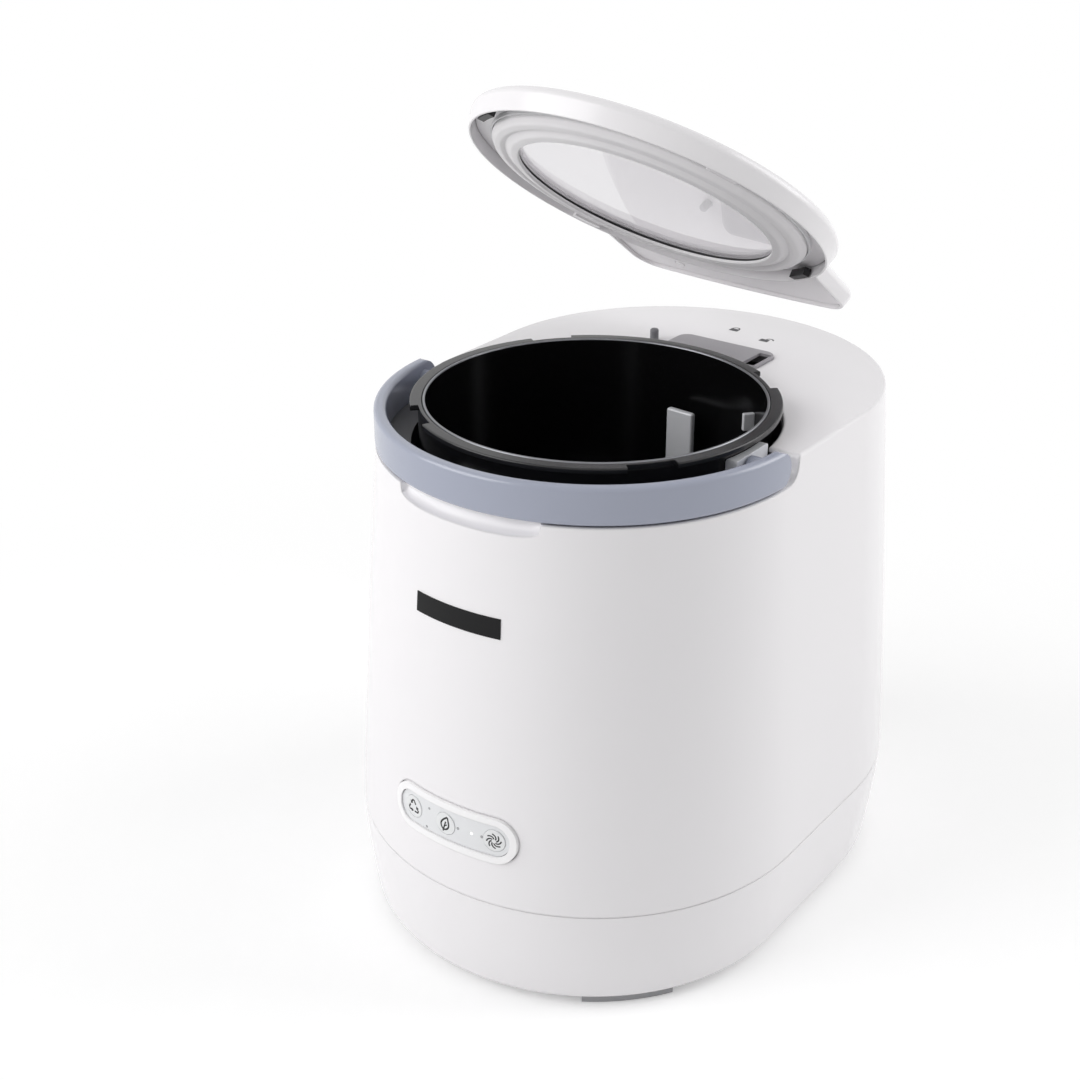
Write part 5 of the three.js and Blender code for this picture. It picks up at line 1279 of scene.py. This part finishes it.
# Deck insert, sensor pin and pictograms


def buildInsert():
    # A cap whose top edge is a quarter circle, hollow from below, with a slot.
    s, edge = insertSpec, insertSpec["edge"]
    top = body["deck"] + s["rise"]
    low = deckUnder - s["skirt"]
    rows = [[(x, y, low) for x, y in insertOutline(0)]]
    for t in np.linspace(0, halfPi, 5):
        outline = insertOutline(edge * (1 - math.cos(t)))
        rows.append([(x, y, top - edge + edge * math.sin(t)) for x, y in outline])
    cap = loft("airInsert", rows)
    right = s["right"] - s["slotInset"]
    front, rear = bucketY + s["front"] + s["slotFront"], bucketY + s["rear"] - s["slotRear"]
    slot = roundedRect(right - s["slotWidth"], right, front, rear, s["slotCorner"], 6)
    under = prism("under", insertOutline(s["wall"]), "Z", low - over, top - s["wall"])
    cut(cap, under, prism("slot", slot, "Z", low - over, top + over))
    place(cap, polyInsert, "base", ["air_insert"])


def buildPin():
    p = pinSpec
    top = body["deck"] + p["rise"]
    flangeTop = deckUnder - seat
    flangeLow = flangeTop - p["flangeWall"]
    r = p["radius"]
    profile = [
        (0.01, top - p["length"], 0),
        (r, top - p["length"], 0.4),
        (r, flangeLow, 0),
        (p["flange"], flangeLow, 0.2),
        (p["flange"], flangeTop, 0.2),
        (r, flangeTop, 0),
        (r, top, 1.2),
        (0.01, top, 0),
    ]
    centre = (p["x"], bucketY + p["y"])
    pin = turned("sensorPin", softPolygon(profile, 4, False), 48, False, centre)
    place(pin, polyGrey, "sensor_pin", ["sensor_pin"])


def flatShape(name, polygons, place3d):
    # Printed marks: flat polygons carried onto a surface by a function of two parameters.
    vertices, faces = [], []
    for polygon in polygons:
        start = len(vertices)
        vertices += [place3d(u, v) for u, v in polygon]
        faces.append(list(range(start, start + len(polygon))))
    return newObject(name, vertices, faces)


def stroke(points, width, closed=False):
    # A line of even width as a row of four-sided pieces with shared, mitred ends.
    points = np.asarray(points, float)
    count = len(points)
    left, right = [], []
    for i in range(count):
        a = points[i - 1] if (i > 0 or closed) else points[i]
        b = points[(i + 1) % count] if (i < count - 1 or closed) else points[i]
        along = (b - a) / max(np.linalg.norm(b - a), 1e-9)
        side = np.array([-along[1], along[0]]) * width / 2
        left.append(points[i] + side)
        right.append(points[i] - side)
    pieces = []
    for i in range(count if closed else count - 1):
        j = (i + 1) % count
        pieces.append([right[i], right[j], left[j], left[i]])
    return pieces


printed = 0.04  # how far a printed mark stands off its surface
padlock = {"spots": ((-9.4, 164.6), (15.2, 158.2)), "size": 2.9, "top": 0.45, "bow": 0.75}


def buildDeckMarks():
    # A closed padlock, and an open one whose bow stands to the side.
    size, level = padlock["size"], body["deck"] + printed
    top, bow = size * padlock["top"], size * padlock["bow"]
    for i, (x, y) in enumerate(padlock["spots"]):
        shift = i * size * 0.9
        shapes = [[(-size, -size), (size, -size), (size, top), (-size, top)]]
        shapes += stroke(arcPoints(shift, top, bow, 0, math.pi, 12), 1.0)
        onDeck = lambda u, v: (x + u, bucketY + y + v, level)
        mark = flatShape(f"padlockMark{i + 1}", shapes, onDeck)
        place(mark, printGrey, "base", ["main_housing"])


buildInsert()
buildPin()
buildDeckMarks()
print("stage: deck details made")

# Control panel and badge


def frontPoint(angle, height, out):
    # A point on the front, out mm beyond the body, at an angle about the bucket's axis.
    radius = float(bodyRadius(height)) + out
    t = math.radians(angle)
    return radius * math.sin(t), bucketY - radius * math.cos(t), height


def buildPanel():
    # A ring and a face cut from the body's own shape by the pill outline.
    p = panelSpec
    z = p["height"]
    low, high = z - 20, z + 20
    ring = pillPrism(0)
    cut(ring, pillPrism(p["bezel"]))
    combine(ring, bodyBlock("out", -p["proud"], low, high, 16), "INTERSECT")
    cut(ring, bodyBlock("in", body["wall"] + seat + p["lip"], low, high, 16))
    lip = pillPrism(-p["lip"])
    cut(lip, pillPrism(p["bezel"] + p["lip"]))
    combine(lip, bodyBlock("out", body["wall"] + seat, low, high, 16), "INTERSECT")
    cut(lip, bodyBlock("in", body["wall"] + seat + p["lip"], low, high, 16))
    joined(ring, lip)
    ring.name = "panelBezel"
    place(ring, bezelWhite, "base", ["panel_bezel"], 28)
    face = pillPrism(p["bezel"] + seat)
    combine(face, bodyBlock("out", -p["faceProud"], low, high, 16), "INTERSECT")
    cut(face, bodyBlock("in", body["wall"], low, high, 16))
    keySeat = float(bodyRadius(z)) - p["keySeat"]
    hole = p["keyRadius"] + p["keyGap"]
    for angle in keyAngles:
        cut(face, frontRod(hole, 90, 150, angle, z))
        cut(face, frontRod(hole + p["keyFlange"], 90, keySeat, angle, z))
    face.name = "panelFace"
    place(face, faceFilm, "base", ["panel_face"], 28)


def frontRod(radius, near, far, angle, height, profile=None, name="rod"):
    # A turned piece lying along the outward direction at an angle from the front.
    profile = profile or [(radius, near), (radius, far)]
    piece = turned(name, profile, 64, False)
    level = Matrix.Translation((0, 0, height * mm)) @ Matrix.Rotation(halfPi, 4, "X")
    return moved(piece, aroundBucket(angle) @ level)


def buildKeys():
    # Stem, flange and cap; the dome falls with the square of the distance from its middle.
    p, z = panelSpec, panelSpec["height"]
    radius = float(bodyRadius(z))
    top = radius + p["faceProud"] + p["keyProud"]
    flangeTop = radius - p["keySeat"] - seat
    flangeLow = flangeTop - p["flangeWall"]
    r, edge, stem = p["keyRadius"], p["keyEdge"], p["keyStem"]
    flange, end = r + p["keyFlange"], radius - p["keyLength"]
    dome = lambda q: p["keyDome"] * (1 - (q / r) ** 2)
    profile = [(0.01, end), (stem, end), (stem, flangeLow), (flange, flangeLow)]
    profile += [(flange, flangeTop), (r, flangeTop), (r, top - edge)]
    for t in np.linspace(0.3, halfPi, 4):
        profile.append((r - edge * (1 - math.cos(t)), top - edge + edge * math.sin(t)))
    profile += [(q, top + dome(q) - dome(r - edge)) for q in (5.2, 4.0, 2.5, 1.2, 0.01)]
    for i, angle in enumerate(keyAngles):
        key = frontRod(0, 0, 0, angle, z, profile, f"key{i + 1}")
        place(key, keyWhite, f"key_{i + 1}", [f"key_{i + 1}"])
        t = math.radians(angle)
        out = np.array([math.sin(t), -math.cos(t), 0])
        across = np.array([math.cos(t), math.sin(t), 0])

        def onKey(u, v):
            reach = top + dome(math.hypot(u, v)) - dome(r - edge) + printed
            return tuple(out * reach + across * u + np.array([0, bucketY, z + v]))

        mark = flatShape(f"keyMark{i + 1}", keyMarks[i](), onKey)
        place(mark, printBlack, f"key_{i + 1}", [f"key_{i + 1}"])


def rotated(points, turn):
    # Flat points turned round the middle of a key.
    c, s = math.cos(turn), math.sin(turn)
    return [(u * c - v * s, u * s + v * c) for u, v in points]


def arrowTriangle():
    # Three arrows, each bent round a cut corner of a triangle and pointing along its next side.
    shapes = []
    line = [(1.92, -1.89), (4.19, -0.58), (4.19, 0.58), (2.86, 1.35)]
    for k in range(3):
        turn = 2 * math.pi * k / 3 + halfPi
        shapes += stroke(rotated(line, turn), 1.05)
        shapes.append(rotated([(1.3, 2.25), (2.3, 0.2), (3.6, 2.4)], turn))
    return shapes


def leaf():
    # Two arcs that meet at the tip and the foot, a midrib and a side vein, all leaning.
    rows = [(2.6 * math.sin(math.pi * s**0.75), -4.0 + 9.0 * s) for s in np.linspace(0, 1, 16)]
    # The midrib is in short pieces, so that it follows the dome of the key
    midrib = [(0, -5.2), (0, -3.5), (0, -1.8), (0, 0), (0, 1.8)]
    shapes = stroke([(-u, v) for u, v in rows], 1.0) + stroke(rows, 1.0)
    shapes += stroke(midrib, 0.85) + stroke([(0, -1.4), (1.3, 0.3)], 0.7)
    return [rotated(shape, math.radians(-18)) for shape in shapes]


def swirl():
    # Eight curved strokes round an open middle; each bends more and more on its way out.
    shapes = []
    for k in range(8):
        turn = math.pi * k / 4
        points = []
        for s in np.linspace(0, 1, 10):
            reach = 1.3 + 3.2 * s
            angle = turn + s**1.3
            points.append((reach * math.cos(angle), reach * math.sin(angle)))
        shapes += stroke(points, 0.8)
    return shapes


keyMarks = (arrowTriangle, leaf, swirl)


def buildLights():
    # Small lenses, each with its angle, height and radius; the fourth is lit.
    spots = ((-6.3, 111, 0.8), (-7.0, 99, 0.8), (2.5, 107, 0.9), (6.3, 107, 0.75), (9.0, 107, 0.9))
    for i, (angle, height, radius) in enumerate(spots):
        near = float(bodyRadius(height))
        profile = [(radius, near - 1), (radius, near + 0.55)]
        profile += [(radius * 0.7, near + 0.68), (0.01, near + 0.7)]
        lens = frontRod(0, 0, 0, angle, height, profile, f"ledLens{i + 1}")
        place(lens, ledLit if i == 3 else ledLens, "base", ["panel_face"])


badge = {"half": 12.6, "low": 224, "high": 235.2, "proud": 0.5, "edge": 0.25, "halfLength": 27}


def buildBadge():
    # A bare plate that follows the body, as three loops: behind the wall, in front, and inset.
    rows = []
    angles = np.linspace(-badge["half"], badge["half"], 40)
    low, high, proud, edge = badge["low"], badge["high"], badge["proud"], badge["edge"]
    for out, inset in ((-0.2, 0.0), (proud - 0.1, 0.0), (proud, edge)):
        across = angles * (1 - inset / badge["halfLength"])
        loop = [frontPoint(a, low + inset, out) for a in across]
        rows.append(loop + [frontPoint(a, high - inset, out) for a in across[::-1]])
    vertices = np.asarray(rows).reshape(-1, 3)
    count = 2 * len(angles)
    faces = []
    for row in range(2):
        a, b = row * count, (row + 1) * count
        for i in range(count):
            j = (i + 1) % count
            faces.append([a + i, a + j, b + j, b + i])
    for i in range(len(angles) - 1):
        a, b = 2 * count + i, 2 * count + i + 1
        c, d = 2 * count + (count - 2 - i), 2 * count + (count - 1 - i)
        faces.append([a, b, c, d])
        faces.append([i, count - 1 - i, count - 2 - i, i + 1])
    plate = newObject("badgePlate", vertices, faces)
    orient(plate)
    place(plate, badgeBlack, "base", ["main_housing"])


buildPanel()
buildKeys()
buildLights()
buildBadge()
print("stage: panel made")

# Rear: filter door with air slots and a finger pull


pull = {"half": 20, "low": 212, "high": 221, "wall": 1.5, "depth": 5, "from": 190, "to": 245}
louvre = {"count": 5, "half": 36, "low": 158, "pitch": 9.5, "high": 3.4, "corner": 1.69}


def pullPrism(extra):
    # The finger pull's outline with round ends, grown by extra all round.
    half, low, high = pull["half"] + extra, pull["low"] - extra, pull["high"] + extra
    corner = (pull["high"] - pull["low"]) / 2 + extra - 0.01
    return prism("pull", roundedRect(-half, half, low, high, corner), "Y", rearY, beyond)


def buildDoor():
    low, high = door["low"] - 15, pull["to"]
    plate = doorPrism(0)
    combine(plate, bodyBlock("out", 0, low, high, 40), "INTERSECT")
    cut(plate, bodyBlock("in", body["wall"], low, high, 40))

    def layer(name, inset):
        return bodyBlock(name, inset, pull["from"], pull["to"], 20)

    cup, pocket = pullPrism(pull["wall"]), pullPrism(0)
    combine(cup, layer("out", pull["wall"]), "INTERSECT")
    joined(plate, cut(cup, layer("in", pull["depth"] + pull["wall"])))
    cut(plate, cut(pocket, layer("in", pull["depth"])))
    for i in range(louvre["count"]):
        low = louvre["low"] + i * louvre["pitch"]
        half, corner = louvre["half"], louvre["corner"]
        slit = roundedRect(-half, half, low, low + louvre["high"], corner, 5)
        cut(plate, prism("louvre", slit, "Y", rearY, beyond))
    plate.name = "filterDoor"
    place(plate, absWhite, "filter_drawer", ["filter_door"], 28)


buildDoor()
print("stage: rear made")

# Hidden pieces keep the CAD shape and get their own material
hidden = (
    (steel, ("heater_element", "gear_motor", "middle_pin", "fan_motor", "motor_pinion")),
    (steel, ("drive_shaft", "drive_dog", "stirrer_shaft", "driven_dog")),
    (polyDark, ("gearbox_base", "gearbox_top", "air_duct", "pin_holder", "fan_volute")),
    (polyBlack, ("fan_impeller",)),
    (polyGrey, ("filter_bay",)),
    (nylon, ("filter_tray", "drive_gear", "middle_gear")),
    (bronze, ("lower_bearing", "upper_bearing", "shaft_bush")),
    (siliconeDark, ("shaft_seal",)),
    (carbon, ("carbon_filter",)),
    (board, ("control_board", "power_board")),
)
for material, names in hidden:
    for name in names:
        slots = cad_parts[name].data.materials
        slots.clear()
        slots.append(material)
print("stage: hidden pieces painted")

# Stage: pale floor, soft lamps, white seen behind

stageSpec = {
    "half": 9000.0,
    "near": 200.0,
    "far": 700.0,
    "lift": 0.22,
    "world": 0.47,
    "mottle": 80.0,
    "aim": 180.0,
}


def seenRays(tree):
    # 1 for rays that come straight, mirrored or through glass from the camera, 0 for light.
    path = addNode(tree, "ShaderNodeLightPath")
    seen = path.outputs["Is Camera Ray"]
    for kind in ("Is Glossy Ray", "Is Transmission Ray"):
        links = {0: seen, 1: path.outputs[kind]}
        seen = addNode(tree, "ShaderNodeMath", {}, links, operation="MAXIMUM").outputs[0]
    return seen


def floorMaterial():
    # Matt white paint with a faint glow; away from the object it is seen as plain white.
    material = bpy.data.materials.new("matt white floor")
    tree = emptyTree(material)
    output = addNode(tree, "ShaderNodeOutputMaterial")
    coordinates = addNode(tree, "ShaderNodeTexCoord").outputs["Object"]
    drift = {"Scale": 1 / (stageSpec["mottle"] * mm)}
    mottle = addNode(tree, "ShaderNodeTexNoise", drift, {"Vector": coordinates}).outputs["Fac"]
    tones = {6: toLinear("#f3f3f3"), 7: toLinear("#f6f6f6")}
    paint = addNode(tree, "ShaderNodeMix", tones, {0: mottle}, data_type="RGBA").outputs[2]
    diffuse = addNode(tree, "ShaderNodeBsdfDiffuse", links={"Color": paint}).outputs[0]
    length = addNode(tree, "ShaderNodeVectorMath", links={0: coordinates}, operation="LENGTH")
    reach = {"From Min": stageSpec["near"] * mm, "From Max": stageSpec["far"] * mm}
    away = addNode(
        tree,
        "ShaderNodeMapRange",
        {**reach, "To Min": 0.0, "To Max": 1.0},
        {"Value": length.outputs["Value"]},
        interpolation_type="SMOOTHSTEP",
    ).outputs["Result"]
    seen = seenRays(tree)
    both = {0: seen, 1: away}
    strength = addNode(tree, "ShaderNodeMath", {}, both, operation="MULTIPLY").outputs[0]
    share = {1: stageSpec["lift"]}
    lift = addNode(tree, "ShaderNodeMath", share, {0: seen}, operation="MULTIPLY").outputs[0]
    plain = {"Color": (1, 1, 1, 1)}
    white = addNode(tree, "ShaderNodeEmission", {**plain, "Strength": 1.0}).outputs[0]
    glow = addNode(tree, "ShaderNodeEmission", plain, {"Strength": lift}).outputs[0]
    near = addNode(tree, "ShaderNodeAddShader", links={0: diffuse, 1: glow}).outputs[0]
    blend = addNode(tree, "ShaderNodeMixShader", links={0: strength, 1: near, 2: white})
    tree.links.new(blend.outputs[0], output.inputs["Surface"])
    return material


half = stageSpec["half"]
corners = [(-half, -half, 0), (half, -half, 0), (half, half, 0), (-half, half, 0)]
floor = newObject("floor", corners, [[0, 1, 2, 3]])
floor.data.materials.append(floorMaterial())



def direction(angle, elevation):
    # From an angle about the upright, counted from the front to the right, and a height angle.
    turn, rise = math.radians(angle), math.radians(elevation)
    flat = math.cos(rise)
    return Vector((math.sin(turn) * flat, -math.cos(turn) * flat, math.sin(rise)))


# Two soft boxes leave the side that faces the camera a little darker
lampElevation, lampDistance = 29, 1800
lamps = {
    "leftLamp": {"angle": -36, "size": (1400, 1300), "power": 16.9},
    "rightLamp": {"angle": 132, "size": (1100, 1300), "power": 13.8},
}
for name, spec in lamps.items():
    data = bpy.data.lights.new(name, "AREA")
    data.shape = "RECTANGLE"
    data.size, data.size_y = (side * mm for side in spec["size"])
    data.energy = spec["power"]
    lamp = bpy.data.objects.new(name, data)
    bpy.context.scene.collection.objects.link(lamp)
    away = direction(spec["angle"], lampElevation)
    lamp.location = Vector((0, 0, stageSpec["aim"] * mm)) + away * lampDistance * mm
    lamp.rotation_euler = (-away).to_track_quat("-Z", "Y").to_euler()

world = bpy.data.worlds.new("studio")
bpy.context.scene.world = world
tree = emptyTree(world)
strength = addNode(
    tree,
    "ShaderNodeMapRange",
    {"To Min": stageSpec["world"], "To Max": 1.0},
    {"Value": seenRays(tree)},
).outputs["Result"]
backdrop = addNode(
    tree, "ShaderNodeBackground", {"Color": (1, 1, 1, 1)}, {"Strength": strength}
).outputs[0]
addNode(tree, "ShaderNodeOutputWorld", links={"Surface": backdrop})

# Camera from the fit to the photo
cameraSpec = {
    "place": (494.75, -766.8, 646.6),
    "azimuth": 36.275,
    "elevation": 25.677,
    "lens": 57.684,
    "sensor": 36,
}
ahead = -direction(cameraSpec["azimuth"], cameraSpec["elevation"])
cameraData = bpy.data.cameras.new("camera")
cameraData.lens = cameraSpec["lens"]
cameraData.sensor_width = cameraSpec["sensor"]
cameraData.sensor_fit = "HORIZONTAL"
cameraData.clip_end = 20
camera = bpy.data.objects.new("camera", cameraData)
bpy.context.scene.collection.objects.link(camera)
camera.location = Vector(cameraSpec["place"]) * mm
camera.rotation_euler = ahead.to_track_quat("-Z", "Y").to_euler()
bpy.context.scene.camera = camera
bpy.context.scene.view_settings.view_transform = "Standard"
print("stage: light and camera set")
